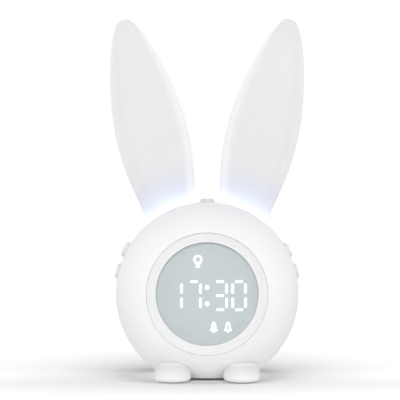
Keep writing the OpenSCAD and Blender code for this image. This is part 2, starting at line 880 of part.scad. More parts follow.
// Round board that keeps inside the ball, with a notch over each foot's boss and screw
module display_board() {
    color("darkgreen") at_ball() difference() {
        intersection() {
            translate([0, -board_back_at, 0]) to_front() cylinder(h = display_board_t, r = board_r);
            ball_body(-wall - loose);
        }
        at_board_screws() translate([0, past - board_back_at, 0]) to_front()
            cylinder(h = display_board_t + 2 * past, r = small_screw_r + fit, $fn = small_fn);
        foot_notches();
    }
}

module led_chip() {
    translate([-0.55, -0.4, 0]) cube([1.1, 0.8, 0.6]);
}

module display_leds() {
    color("gold") at_ball() translate([0, -board_at, 0]) to_front() {
        for (digit = [0 : 3], place = segment_places) {
            translate([digit_places[digit] + place[0], digits_z + place[1], 0])
                rotate(place[2] ? 90 : 0) led_chip();
        }
        for (end = [-1, 1]) {
            translate([0, digits_z + end * colon_pitch / 2, 0]) led_chip();
        }
        for (cell = icon_cells) {
            translate([cell[0][0], cell[0][1], 0]) led_chip();
        }
    }
}

// Chips and plugs on the back of the display's board: place across and up, then size
chips = [
    [[-9, 8], [10, 10, 1.6]], [[9, 10], [6, 5, 1.4]], [[9, -2], [8, 3.6, 2.4]],
    [[-10, -9], [7, 4.4, 1.8]], [[20, 4], [4.5, 9.5, 3]], [[-23, 2], [4.5, 12, 3]],
];

module display_chips() {
    color("dimgray") at_ball() translate([0, -board_back_at, 0]) to_back()
        for (chip = chips) {
            translate([chip[0][0] - chip[1][0] / 2, -chip[0][1] - chip[1][1] / 2, 0])
                cube(chip[1]);
        }
}

// Point on a curve, from its control points
function bezier(points, t) = len(points) == 1 ? points[0]
    : bezier([for (i = [0 : len(points) - 2]) (1 - t) * points[i] + t * points[i + 1]], t);

function ear_edge(points, t) = let (at = bezier(points, t))
    ear_root + ear_w * at[0] * ear_across + ear_l * at[1] * ear_along;

function powered(value, power) = sign(value) * pow(abs(value), power);

function ear_thickness(t) = ear_half_t * (1 - ear_taper * t) * (1 - pow(t, tip_power));

// Point of the ear's skin at a share t of its length and an angle around it, moved in by inset
function ear_skin(t, angle, inset) = let (
        edge_in = ear_edge(ear_edge_in, t),
        edge_out = ear_edge(ear_edge_out, t),
        half = (edge_out - edge_in) / 2,
        across = powered(cos(angle), ear_square),
        deep = powered(sin(angle), ear_square),
        dish = deep < 0 ? ear_dish * pow(1 - pow(across, 2), 2) * (1 - pow(t, tip_power)) : 0,
        middle = (edge_in + edge_out) / 2,
        flat = middle + half * across * (norm(half) - inset) / max(norm(half), seat)
    ) [flat[0], deep * (ear_thickness(t) - inset) + dish, flat[1]];

// Share of the ear's length at which a column of its skin is at a distance r from the ball's centre
function ear_start(angle, inset, r, low = 0, high = 0.4, steps = 18) = let (half = (low + high) / 2)
    steps == 0 ? half
    : norm(ear_skin(half, angle, inset)) < r ? ear_start(angle, inset, r, half, high, steps - 1)
    : ear_start(angle, inset, r, low, half, steps - 1);

function column_angle(column) = 360 * (column + 0.5) / ear_columns;

function ear_ring(share, inset, r, end) = [
    for (column = [0 : ear_columns - 1]) let (
            angle = column_angle(column),
            start = ear_start(angle, inset, r)
        ) ear_skin(start + (end - start) * (1 - pow(1 - share, 1.4)), angle, inset)
];

// Point of the neck's stadium, in the neck's own axes, at a height above the ball's centre
function neck_point(u, v, w) = [
    w * sin(ear_root_tilt) + u * cos(ear_root_tilt), v, w * cos(ear_root_tilt) - u * sin(ear_root_tilt),
];

// Distance from a stadium's middle to its edge at an angle: c is half of its straight side
function stadium_reach(c, end_r, angle) = end_r * abs(cos(angle)) < c * abs(sin(angle))
    ? end_r / abs(sin(angle))
    : c * abs(cos(angle)) + sqrt(pow(end_r, 2) - pow(c * sin(angle), 2));

function neck_ring(inset, r, flat_end) = [
    for (column = [0 : ear_columns - 1]) let (
            angle = column_angle(column),
            reach = stadium_reach(neck_half_w - neck_half_t, neck_half_t - inset, angle),
            u = reach * cos(angle),
            v = reach * sin(angle)
        ) neck_point(u, v, flat_end ? r : sqrt(pow(r, 2) - pow(u, 2) - pow(v, 2)))
];

// Ring halfway between two others, at a distance r from the ball's centre
function middle_ring(one, other, r) = [
    for (column = [0 : ear_columns - 1]) let (point = (one[column] + other[column]) / 2)
        point * r / norm(point)
];

// Hollow ear with a shoulder that sits on the ball and a neck that goes through its wall
module ear_body() {
    shoulder = ear_ring(0, 0, ear_seat_r, 1);
    neck_top = neck_ring(0, ear_seat_r, false);
    rings = concat(
        [for (k = [ear_rings - 1 : -1 : 1]) ear_ring(k / ear_rings, 0, ear_seat_r, 1)],
        [shoulder, middle_ring(shoulder, neck_top, ear_seat_r), neck_top],
        [neck_ring(0, neck_end + fit, true)],
        [neck_ring(ear_wall, neck_end + fit, true), neck_ring(ear_wall, ear_seat_r + ear_wall, false)],
        [for (k = [0 : ear_inner_rings])
            ear_ring(k / ear_inner_rings, ear_wall, ear_seat_r + ear_wall, ear_inner_end)]
    );
    n = ear_columns;
    tip = ear_edge(ear_edge_in, 1);
    inner_end = (ear_edge(ear_edge_in, ear_inner_end) + ear_edge(ear_edge_out, ear_inner_end)) / 2;
    points = concat(
        [[tip[0], 0, tip[1]]],
        [for (ring = rings) each ring],
        [[inner_end[0], 0, inner_end[1]]]
    );
    last = len(rings) - 1;
    faces = concat(
        [for (k = [0 : n - 1]) [0, 1 + (k + 1) % n, 1 + k]],
        [for (ring = [0 : last - 1], k = [0 : n - 1])
            [1 + ring * n + k, 1 + ring * n + (k + 1) % n, 1 + (ring + 1) * n + (k + 1) % n]],
        [for (ring = [0 : last - 1], k = [0 : n - 1])
            [1 + ring * n + k, 1 + (ring + 1) * n + (k + 1) % n, 1 + (ring + 1) * n + k]],
        [for (k = [0 : n - 1]) [len(points) - 1, 1 + last * n + k, 1 + last * n + (k + 1) % n]]
    );
    polyhedron(points = points, faces = faces, convexity = 6);
}

module ear_left() {
    color("white", 0.85) at_ball() on_side(-1) ear_body();
}

module ear_right() {
    color("white", 0.85) at_ball() on_side(1) ear_body();
}

// White base that closes an ear's neck from inside and carries its lights
module ear_light_base(side) {
    ring_w = neck_half_w - plug_in;
    ring_t = neck_half_t - plug_in;
    color("whitesmoke") at_ball() difference() {
        union() {
            along_neck(side) {
                translate([0, 0, neck_end - light_base_t]) linear_extrude(light_base_t)
                    stadium(neck_half_w + loose + collar_t, neck_half_t + loose + collar_t);
                translate([0, 0, neck_end]) linear_extrude(light_base_h) difference() {
                    stadium(ring_w, ring_t);
                    stadium(ring_w - light_ring_wall, ring_t - light_ring_wall);
                }
            }
            at_ear_screws(side) translate([0, 0, neck_end - light_base_t])
                cylinder(h = light_base_t, r = ear_boss_r + loose);
        }
        at_ear_screws(side) translate([0, 0, neck_end - light_base_t - past])
            cylinder(h = light_base_t + 2 * past, r = small_screw_r + fit);
        along_neck(side) translate([0, 0, neck_end - light_base_t - past])
            cylinder(h = light_base_t + 2 * past, r = cable_hole_r);
    }
}

module ear_light_base_left() {
    ear_light_base(-1);
}

module ear_light_base_right() {
    ear_light_base(1);
}

module ear_light_board(side) {
    color("whitesmoke") at_ball() along_neck(side) translate([0, 0, light_board_at])
        linear_extrude(board_t) stadium(neck_half_w - ear_wall - loose, neck_half_t - ear_wall - loose);
}

module ear_light_board_left() {
    ear_light_board(-1);
}

module ear_light_board_right() {
    ear_light_board(1);
}

module ear_leds() {
    led = [3.5, 2.8, 1.4];
    color("lightyellow") at_ball() for (side = [-1, 1], k = [-1 : 1]) {
        along_neck(side) translate([k * neck_half_w / 2 - led[0] / 2, -led[1] / 2, light_board_at + board_t])
            cube(led);
    }
}

// Rounded outline of a foot, from its underside to the top of its dome
foot_outline = concat(
    [[0, 0], [foot_r - foot_edge[0], 0]],
    [for (k = [1 : foot_edge_steps]) let (angle = 90 * k / foot_edge_steps) [
        foot_r - foot_edge[0] * (1 - sin(angle)), foot_edge[1] * (1 - cos(angle)),
    ]],
    [for (k = [1 : foot_steps]) let (angle = 90 * k / foot_steps) [
        foot_r * powered(cos(angle), foot_power),
        foot_edge[1] + (foot_h - foot_edge[1]) * powered(sin(angle), foot_power),
    ]]
);

module foot(side) {
    color("white") difference() {
        union() {
            difference() {
                translate([side * foot_x, ball_y - foot_ahead, pad_proud])
                    rotate_extrude() polygon(foot_outline);
                at_ball() ball_body(seat);
            }
            translate([side * foot_x, ball_y - peg_ahead, pad_t + past])
                cylinder(h = ball_z - peg_top - pad_t - past, r = peg_r);
        }
        translate([side * foot_x, ball_y - foot_ahead, -past])
            cylinder(h = pad_t + past, r = pad_r + fit);
        translate([side * foot_x, ball_y - peg_ahead, ball_z - peg_top - small_screw_l - past])
            cylinder(h = ball_r, r = small_screw_r + fit / 2);
    }
}

module foot_left() {
    foot(-1);
}

module foot_right() {
    foot(1);
}

module foot_pads() {
    color("gainsboro") for (side = [-1, 1]) {
        translate([side * foot_x, ball_y - foot_ahead, 0]) cylinder(h = pad_t, r = pad_r);
    }
}

module rear_pads() {
    color("gainsboro") for (side = [-1, 1]) {
        translate([side * rear_pad_x, ball_y + rear_pad_behind, 0])
            cylinder(h = base_gap + rear_pad_recess, r = rear_pad_r);
    }
}

// Round head with a rounded edge, on a flange, standing on +Z
module button_head(r, low, high, edge) {
    rotate_extrude() {
        translate([0, low]) square([r + cap_flange_w, cap_flange_t]);
        translate([0, low]) square([r, high - low - edge]);
        translate([0, low]) square([r - edge, high - low]);
        translate([r - edge, high - edge]) circle(r = edge, $fn = small_fn);
    }
}

// Side button: its head points outwards at its own tilt, its stem along its switch
module side_button(side, tilt, rise) {
    color("white") at_ball() {
        outwards(side, tilt)
            button_head(cap_r, cap_flange_top - cap_flange_t, ball_r + rise, cap_round);
        outwards(side, pair_tilt)
            translate([(tilt > pair_tilt ? -1 : 1) * switch_u, 0, plunger_top_side])
            cylinder(h = stem_from - plunger_top_side, r = stem_r, $fn = small_fn);
    }
}

module button_upper_left() {
    side_button(-1, upper_tilt, upper_left_rise);
}

module button_lower_left() {
    side_button(-1, lower_tilt, side_rise);
}

module button_upper_right() {
    side_button(1, upper_tilt, side_rise);
}

module button_lower_right() {
    side_button(1, lower_tilt, side_rise);
}

module button_top() {
    scoop_half = top_cap_r - top_round;
    scoop_r = (pow(scoop_half, 2) + pow(top_scoop, 2)) / (2 * top_scoop);
    color("lightgray") at_ball() difference() {
        union() {
            button_head(top_cap_r, top_flange_top - cap_flange_t, ball_r + top_rise, top_round);
            translate([0, 0, plunger_top_top])
                cylinder(h = top_flange_top - cap_flange_t / 2 - plunger_top_top, r = stem_r, $fn = small_fn);
        }
        translate([0, -ball_r / 2, ball_r + top_rise - top_scoop + scoop_r]) to_back()
            cylinder(h = ball_r, r = scoop_r);
    }
}

module side_plunger(side, end) {
    color("black") at_ball() outwards(side, pair_tilt)
        translate([end * switch_u, 0, side_board_at + switch_h - plunger_in])
        cylinder(h = plunger_in + plunger_up, r = plunger_r - fit / 2, $fn = small_fn);
}

module plunger_upper_left() {
    side_plunger(-1, -1);
}

module plunger_lower_left() {
    side_plunger(-1, 1);
}

module plunger_upper_right() {
    side_plunger(1, -1);
}

module plunger_lower_right() {
    side_plunger(1, 1);
}

module plunger_top() {
    color("black") at_ball() translate([0, 0, top_board_at + switch_h - plunger_in])
        cylinder(h = plunger_in + plunger_up, r = plunger_r - fit / 2, $fn = small_fn);
}

// Square push switch with the well that its plunger moves in
module push_switch() {
    difference() {
        translate([-switch_w / 2, -switch_w / 2, 0]) cube([switch_w, switch_w, switch_h]);
        translate([0, 0, switch_h - plunger_in - travel - fit])
            cylinder(h = switch_h, r = plunger_r + fit / 2, $fn = small_fn);
    }
}

module push_switches() {
    color("dimgray") at_ball() {
        translate([0, 0, top_board_at]) push_switch();
        for (side = [-1, 1], end = [-1, 1]) {
            outwards(side, pair_tilt) translate([end * switch_u, 0, side_board_at])
                push_switch();
        }
    }
}

// Small rectangular board with two screw holes in a line across it
module switch_board(half, screw_y) {
    translate([0, 0, -board_t]) difference() {
        translate([-half[0], -half[1], 0]) cube([2 * half[0], 2 * half[1], board_t]);
        for (end = [-1, 1]) {
            translate([0, end * screw_y, -past])
                cylinder(h = board_t + 2 * past, r = small_screw_r + fit, $fn = small_fn);
        }
    }
}

module switch_board_top() {
    color("darkgreen") at_ball() translate([0, 0, top_board_at])
        switch_board(top_board_half, top_screw_y);
}

module side_switch_board(side) {
    color("darkgreen") at_ball() outwards(side, pair_tilt)
        translate([0, 0, side_board_at]) switch_board(side_board_half, side_screw_y);
}

module switch_board_left() {
    side_switch_board(-1);
}

module switch_board_right() {
    side_switch_board(1);
}

// Steel basket of the speaker, with its flange against the seat
module speaker_frame() {
    t = 0.8;
    color("silver") at_ball() translate([0, speaker_flange_at, speaker_z]) to_front()
        rotate_extrude() polygon([
            [basket_r - t, 0], [speaker_r, 0], [speaker_r, speaker_flange_t],
            [basket_r, speaker_flange_t], [magnet_r, basket_depth],
            [magnet_r / 2, basket_depth], [magnet_r / 2, basket_depth - t],
            [magnet_r - t, basket_depth - t],
        ]);
}

module speaker_cone() {
    apex_r = 0.4 * magnet_r;
    rim_r = basket_r - cone_rim;
    deep = basket_depth - cone_clear;
    color("black") at_ball() translate([0, speaker_flange_at, speaker_z]) to_front()
        rotate_extrude() polygon([
            [0, deep], [apex_r, deep], [rim_r, cone_t],
            [rim_r, 2 * cone_t], [apex_r, deep + cone_t], [0, deep + cone_t],
        ]);
}

module speaker_magnet() {
    color("gray") at_ball() translate([0, speaker_flange_at - basket_depth, speaker_z]) to_front()
        cylinder(h = magnet_t, r = magnet_r);
}

module speaker_clamp() {
    color("whitesmoke") at_ball() difference() {
        union() {
            translate([0, clamp_at, speaker_z]) to_front()
                cylinder(h = clamp_t, r = speaker_r + loose + locating_t);
            at_clamp_screws() translate([0, clamp_at, 0]) to_front()
                cylinder(h = clamp_t, r = clamp_boss_r);
        }
        translate([0, clamp_at + past, speaker_z]) to_front()
            cylinder(h = clamp_t + 2 * past, r = basket_r + loose);
        at_clamp_screws() translate([0, clamp_at + past, 0]) to_front()
            cylinder(h = clamp_t + 2 * past, r = small_screw_r + fit, $fn = small_fn);
    }
}

module charging_board() {
    size = charging_board_size;
    color("darkgreen") at_ball() difference() {
        translate([-size[0] / 2, charging_board_rear - size[1], charging_board_z - board_t])
            cube([size[0], size[1], board_t]);
        at_charging_screws() translate([0, 0, -board_t - past])
            cylinder(h = board_t + 2 * past, r = small_screw_r + fit, $fn = small_fn);
    }
}

module usb_shell() {
    color("silver") at_ball() translate([0, usb_at, -usb_down]) to_front() difference() {
        linear_extrude(usb_l) stadium(usb_w / 2, usb_h / 2);
        translate([0, 0, -past]) linear_extrude(usb_l - usb_wall + past)
            stadium(usb_w / 2 - usb_wall, usb_h / 2 - usb_wall);
    }
}

module usb_tongue() {
    tongue = [6.7, 0.7];
    base_l = 1.8;
    color("black") at_ball() translate([0, usb_at - usb_l + usb_wall, -usb_down]) to_back() {
        linear_extrude(base_l) stadium(usb_w / 2 - usb_wall - fit, usb_h / 2 - usb_wall - fit);
        translate([-tongue[0] / 2, -tongue[1] / 2, 0]) cube([tongue[0], tongue[1], usb_l - 1.4]);
    }
}

module battery_tray() {
    color("whitesmoke") at_ball() difference() {
        union() {
            at_tray() translate([-tray_size[0] / 2, -tray_size[1] / 2, 0])
                cube([tray_size[0], tray_size[1], tray_floor + tray_rim]);
            at_tray_screws() cylinder(h = tray_floor, r = tray_post_r);
            // Bridges from the screw lugs to the tray
            at_tray() translate([-tray_screw_x, -tray_post_r, 0])
                cube([2 * tray_screw_x, 2 * tray_post_r, tray_floor]);
        }
        at_tray() translate([-cell_size[0] / 2 - loose, -cell_size[1] / 2 - loose, tray_floor])
            cube([cell_size[0] + 2 * loose, cell_size[1] + 2 * loose, tray_rim + past]);
        at_tray_screws() translate([0, 0, -past])
            cylinder(h = tray_floor + 2 * past, r = small_screw_r + fit, $fn = small_fn);
    }
}

module battery_foam() {
    foam_size = [cell_size[0] - 2 * foam_margin, cell_size[1] - 2 * foam_margin];
    color("dimgray") at_ball() at_tray()
        translate([-foam_size[0] / 2, -foam_size[1] / 2, tray_floor])
        cube([foam_size[0], foam_size[1], foam_t]);
}

// Flat cell with rounded long edges
module battery_cell() {
    color("steelblue") at_ball() at_tray()
        translate([-cell_size[0] / 2, 0, tray_floor + foam_t + cell_size[2] / 2])
        rotate([90, 0, 90]) linear_extrude(cell_size[0]) {
            square([cell_size[1], cell_size[2] - 2 * cell_edge], center = true);
            square([cell_size[1] - 2 * cell_edge, cell_size[2]], center = true);
            for (y = [-1, 1], z = [-1, 1]) {
                translate([y * (cell_size[1] / 2 - cell_edge), z * (cell_size[2] / 2 - cell_edge)])
                    circle(r = cell_edge, $fn = small_fn);
            }
        }
}

// Screw with a cross recess: its head sits on z = 0 and its shank goes down
module screw(shank_r, shank_l, head_r) {
    slot = [1.3 * head_r, 0.22 * head_r];
    slot_depth = 0.6 * head_h;
    difference() {
        union() {
            cylinder(h = head_h, r = head_r, $fn = small_fn);
            translate([0, 0, -shank_l]) cylinder(h = shank_l, r = shank_r, $fn = small_fn);
        }
        for (turn = [0, 90]) {
            rotate(turn) translate([-slot[0] / 2, -slot[1] / 2, head_h - slot_depth])
                cube([slot[0], slot[1], slot_depth + past]);
        }
    }
}

module small_screw() {
    screw(small_screw_r, small_screw_l, small_head_r);
}

module case_screws() {
    color("silver") at_ball() at_case_screws() translate([0, split + case_head_at, 0])
        to_back() screw(case_screw_r, case_screw_l, case_head_r);
}

module foot_screws() {
    color("silver") at_ball() at_pegs() translate([0, 0, -peg_top])
        screw(small_screw_r, small_screw_l, foot_head_r);
}

module small_screws() {
    color("silver") at_ball() {
        at_board_screws() translate([0, -board_back_at, 0]) to_back() small_screw();
        for (side = [-1, 1]) {
            at_ear_screws(side) translate([0, 0, neck_end - light_base_t]) mirror([0, 0, 1])
                small_screw();
            at_side_board_screws(side) translate([0, 0, -board_t]) mirror([0, 0, 1])
                small_screw();
        }
        at_top_board_screws() translate([0, 0, -board_t]) mirror([0, 0, 1]) small_screw();
        at_tray_screws() translate([0, 0, tray_floor]) small_screw();
        at_clamp_screws() translate([0, clamp_at - clamp_t, 0]) to_front() small_screw();
        at_charging_screws() small_screw();
    }
}

front_shell();
rear_shell();
bezel_ring();
display_window();
display_mask();
segments_lit();
segments_unlit();
icon_windows();
light_guide();
display_board();
display_leds();
display_chips();
ear_left();
ear_right();
ear_light_base_left();
ear_light_base_right();
ear_light_board_left();
ear_light_board_right();
ear_leds();
foot_left();
foot_right();
foot_pads();
rear_pads();
foot_screws();
button_top();
button_upper_left();
button_lower_left();
button_upper_right();
button_lower_right();
plunger_top();
plunger_upper_left();
plunger_lower_left();
plunger_upper_right();
plunger_lower_right();
push_switches();
switch_board_top();
switch_board_left();
switch_board_right();
speaker_frame();
speaker_cone();
speaker_magnet();
speaker_clamp();
charging_board();
usb_shell();
usb_tongue();
battery_tray();
battery_foam();
battery_cell();
case_screws();
small_screws();
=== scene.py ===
# %% [markdown]
# # A kids' alarm clock with two glowing ears
#
# The clock is a white plastic ball on two dome feet. A round display sits in its face and two tall
# hollow ears stand on its top and glow at their roots as a night light. Its solid parts come
# from a CAD model that is loaded first and never moved. This lesson models the two ears afresh,
# as soft moulded shells, and gives every part the finish that it has on the real clock.
#
# All positions are in metres: X runs to the right, Y away from the viewer and Z up.

# %% Load the fixed model
import math

import bpy
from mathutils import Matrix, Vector


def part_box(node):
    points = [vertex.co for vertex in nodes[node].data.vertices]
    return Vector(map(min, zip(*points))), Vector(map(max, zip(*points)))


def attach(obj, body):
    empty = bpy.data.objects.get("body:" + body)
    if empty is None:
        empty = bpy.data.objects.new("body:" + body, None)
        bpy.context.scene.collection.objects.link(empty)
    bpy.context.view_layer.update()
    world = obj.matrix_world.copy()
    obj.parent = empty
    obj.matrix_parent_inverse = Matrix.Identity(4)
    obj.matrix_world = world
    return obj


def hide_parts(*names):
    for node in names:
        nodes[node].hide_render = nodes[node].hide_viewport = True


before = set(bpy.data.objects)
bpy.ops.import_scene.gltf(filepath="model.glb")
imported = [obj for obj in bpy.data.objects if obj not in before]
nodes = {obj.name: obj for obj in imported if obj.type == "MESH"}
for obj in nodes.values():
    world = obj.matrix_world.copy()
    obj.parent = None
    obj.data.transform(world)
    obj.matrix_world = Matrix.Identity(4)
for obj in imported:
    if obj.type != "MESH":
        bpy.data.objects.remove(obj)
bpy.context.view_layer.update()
scene = bpy.context.scene
print("parts of the clock:", len(nodes))

# %% [markdown]
# ## Where things are
#
# Almost everything on this clock is placed from the middle of the ball, so that point is worked
# out first. The CAD model tells it: the display window is a disc around the ball's level axis, so the
# middle of its box gives the height, and the top button stands on the ball's upright axis, so the
# middle of its box gives the depth. One millimetre is written as `mm` so that every size below
# can be read as on a drawing.

# %% The middle of the ball
mm = 0.001
ball_radius = 47.5 * mm
window_low, window_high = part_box("display_window")
button_low, button_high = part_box("button_top")
ball = Vector((0, (button_low.y + button_high.y) / 2, (window_low.z + window_high.z) / 2))
print("middle of the ball in mm:", [round(c / mm, 2) for c in ball])

# %% [markdown]
# ## The camera
#
# The clock is looked at from straight ahead with a long portrait lens, so that the ball
# stays round. The camera stands low, a little above the middle of the ball, and tilts up by five
# degrees to take in the ears. That tilt is why the feet are seen almost level while the ears lean
# back a little. A hair of yaw puts the clock just right of the middle of the frame. The Standard
# view shows colours as they are mixed, without a film look.

# %% Set up the camera
camera_distance = 480 * mm
camera_height = 49 * mm
camera_tilt = math.radians(5.09)
camera_yaw = math.radians(0.445)
camera_data = bpy.data.cameras.new("camera")
camera_data.lens = 82.2
camera_data.sensor_width = 36
camera_data.clip_start = 0.01
camera_data.clip_end = 20
camera = bpy.data.objects.new("camera", camera_data)
camera.location = (0, ball.y - camera_distance, camera_height)
camera.rotation_euler = (math.radians(90) + camera_tilt, 0, camera_yaw)
scene.collection.objects.link(camera)
scene.camera = camera
scene.view_settings.view_transform = "Standard"
print("camera distance in mm:", round((camera.location - ball).length / mm))

# %% [markdown]
# ## Small helpers
#
# Three helpers keep the cells short. The first takes everything out of the selection, because a
# Blender operator works on all that is selected, and the CAD parts arrive selected. The second
# selects one piece alone. The third applies a modifier to a piece, so that what is left is plain
# mesh.


# %% Helpers for modelling
def deselect_all():
    if bpy.context.object and bpy.context.object.mode != "OBJECT":
        bpy.ops.object.mode_set(mode="OBJECT")
    bpy.ops.object.select_all(action="DESELECT")


def select_only(piece):
    deselect_all()
    piece.select_set(True)
    bpy.context.view_layer.objects.active = piece


def apply_modifier(piece, kind, **settings):
    select_only(piece)
    modifier = piece.modifiers.new(kind.lower(), kind)
    for name, value in settings.items():
        setattr(modifier, name, value)
    bpy.ops.object.modifier_apply(modifier=modifier.name)


# %% [markdown]
# ## The outline of an ear
#
# The real ear is a thin leaf-shaped shell, moulded in frosted plastic. Seen from the front it has a
# narrow root, is widest near the middle and ends in a small round tip that leans outwards.
#
# A leaf like this could be drawn as a curve and given a thickness, but its section changes all the
# way up: it is fat at the root and thin at the tip. So it is built as a loft instead, a tube that
# is extruded upwards ring by ring. The two edges of the leaf are Bezier curves, and
# the cell below asks them how wide the ear is at any height.

# %% The two edges of an ear
ear_length = 106.1 * mm
ear_width = 37.5 * mm
root_half_thickness = 8.5 * mm
thickness_lost = 0.42
ear_lean = math.radians(13.6)
root_tilt = math.radians(23.6)
edge_toward_middle = [(-0.32, -0.04), (-0.45, 0.19), (-0.68, 0.4), (-0.42, 0.68), (-0.21, 0.99), (0, 1)]
edge_outward = [(0.34, -0.08), (0.41, 0.2), (0.81, 0.4), (0.34, 0.66), (0.35, 1.01), (0, 1)]


def bezier_point(controls, share):
    points = [Vector(c) for c in controls]
    while len(points) > 1:
        points = [a.lerp(b, share) for a, b in zip(points, points[1:])]
    return points[0]


def edge_at_height(controls, height):
    """How far sideways the edge is at a height, both as shares of the ear's size.

    The share of the curve that reaches the height is found by halving, in 40 steps.
    """
    low, high = -0.05, 0.985
    for _ in range(40):
        share = (low + high) / 2
        if bezier_point(controls, share).y < height:
            low = share
        else:
            high = share
    return bezier_point(controls, share).x


def half_thickness_at(height):
    """Falls evenly up the ear, and then quickly to nothing where the tip closes."""
    share = max(height, 0)
    return root_half_thickness * (1 - thickness_lost * share) * (1 - share**8)


for tenth in range(0, 10, 3):
    width = edge_at_height(edge_outward, tenth / 10) - edge_at_height(edge_toward_middle, tenth / 10)
    print("ear width in mm at", tenth, "tenths of its height:", round(width * ear_width / mm, 1))

# %% [markdown]
# ## One ring of the ear
#
# The ear's section is an oval that is a little squarer than an ellipse, with a shallow hollow in
# the side that faces forwards. It starts as a square plane. Bevelling its four corners right up to
# the middles of its sides turns it into that oval, and the bevel's profile says how square it is.
# Then the vertices at the front are moved back, the middle ones most, to press the hollow in.

# %% Start a tube with one squarish oval ring
oval_profile = 0.582
hollow_share = 0.2
front_half = -0.1
same_column = 0.02


def start_oval(name):
    deselect_all()
    bpy.ops.mesh.primitive_plane_add(size=2, location=(0, 0, 0))
    piece = bpy.context.object
    piece.name = name
    bpy.ops.object.mode_set(mode="EDIT")
    bpy.ops.mesh.select_mode(type="VERT")
    bpy.ops.mesh.select_all(action="SELECT")
    bpy.ops.mesh.bevel(affect="VERTICES", offset=1, segments=6, profile=oval_profile)
    bpy.ops.mesh.remove_doubles(threshold=0.01)
    return piece


def press_hollow(piece):
    """Moves the front vertices back, one column on each side of the middle at a time."""
    bpy.ops.object.mode_set(mode="OBJECT")
    distances = sorted({round(abs(v.co.x), 2) for v in piece.data.vertices if v.co.y < front_half})
    for distance in distances:
        bpy.ops.object.mode_set(mode="EDIT")
        bpy.ops.mesh.select_all(action="DESELECT")
        bpy.ops.object.mode_set(mode="OBJECT")
        for vertex in piece.data.vertices:
            in_column = abs(abs(vertex.co.x) - distance) < same_column
            vertex.select = in_column and vertex.co.y < front_half
        bpy.ops.object.mode_set(mode="EDIT")
        bpy.ops.transform.translate(value=(0, hollow_share * (1 - distance**2) ** 2, 0))
        bpy.ops.object.mode_set(mode="OBJECT")
    bpy.ops.object.mode_set(mode="EDIT")
    bpy.ops.mesh.select_all(action="SELECT")


# %% [markdown]
# ## The loft
#
# Now the oval climbs. At each height it is extruded, moved to the middle between the two edges, and
# resized to the width and thickness that the ear has there. The rings stand close together at the
# tip, where the outline turns quickly. A subdivision surface then rounds the cage; it pulls a
# ring of 24 points inwards by about one part in ninety, so the cage is made that much too big.
#
# The same loft, narrower by the thickness of the wall, is used later to hollow the ear out.

# %% Raise the oval to a whole ear
cage_allowance = 1 / 0.9886
heights = [
    -0.075, -0.04, 0, 0.04, 0.09, 0.15, 0.22, 0.3, 0.38, 0.46, 0.54,
    0.62, 0.7, 0.77, 0.83, 0.88, 0.92, 0.95, 0.972, 0.987, 0.996,
]


def section_at(height, inset):
    """The middle, the height, and the half width and half depth of the cage's ring at a height."""
    toward_middle = edge_at_height(edge_toward_middle, height) * ear_width
    outward = edge_at_height(edge_outward, height) * ear_width
    middle = (toward_middle + outward) / 2
    half_width = ((outward - toward_middle) / 2 - inset) * cage_allowance
    half_depth = (half_thickness_at(height) - inset) * cage_allowance
    return middle, height * ear_length, half_width, half_depth


def raise_oval(name, heights, inset):
    piece = start_oval(name)
    press_hollow(piece)
    middle, up, half_width, half_depth = section_at(heights[0], inset)
    bpy.ops.transform.resize(value=(half_width, half_depth, 1), center_override=(0, 0, 0))
    bpy.ops.transform.translate(value=(middle, 0, up))
    for height in heights[1:]:
        next_middle, next_up, next_width, next_depth = section_at(height, inset)
        step = (next_middle - middle, 0, next_up - up)
        bpy.ops.mesh.extrude_region_move(TRANSFORM_OT_translate={"value": step})
        growth = (next_width / half_width, next_depth / half_depth, 1)
        bpy.ops.transform.resize(value=growth, center_override=(next_middle, 0, next_up))
        middle, up, half_width, half_depth = next_middle, next_up, next_width, next_depth
    bpy.ops.mesh.select_all(action="SELECT")
    bpy.ops.mesh.normals_make_consistent(inside=False)
    bpy.ops.object.mode_set(mode="OBJECT")
    apply_modifier(piece, "SUBSURF", levels=2, render_levels=2)
    return piece


def stand_on_ball(piece, tilt, root):
    """Turns a piece from its own upright axes to its lean and puts it on the ball."""
    select_only(piece)
    piece.rotation_euler = (0, tilt, 0)
    piece.location = root
    bpy.ops.object.transform_apply(location=True, rotation=True, scale=True)


root_on_ball = ball + ball_radius * Vector((math.sin(root_tilt), 0, math.cos(root_tilt)))
ear = raise_oval("ear_shell_right", heights, 0)
stand_on_ball(ear, ear_lean, root_on_ball)
print("faces of the solid ear:", len(ear.data.polygons))

# %% [markdown]
# ## The foot of the ear
#
# The ear's shoulder is cut to the curve of the ball so that it sits on it without a gap, and an
# oblong neck goes down through the body's wall to the lights. On the real clock this is one
# moulding. Here a Boolean cuts the shoulder with a ball, and a second one joins the neck,
# because a cut follows the ball exactly where hand-placed vertices would only come close.

# %% Cut the shoulder and add the neck
wall = 1.6 * mm
seat_gap = 0.05 * mm
neck_half_width = 9.5 * mm
neck_half_depth = 6.1 * mm
neck_end = 38.1 * mm
overlap = 2 * mm
core_overrun = 1 * mm


def ball_cutter(radius):
    deselect_all()
    bpy.ops.mesh.primitive_uv_sphere_add(segments=160, ring_count=80, radius=radius, location=ball)
    return bpy.context.object


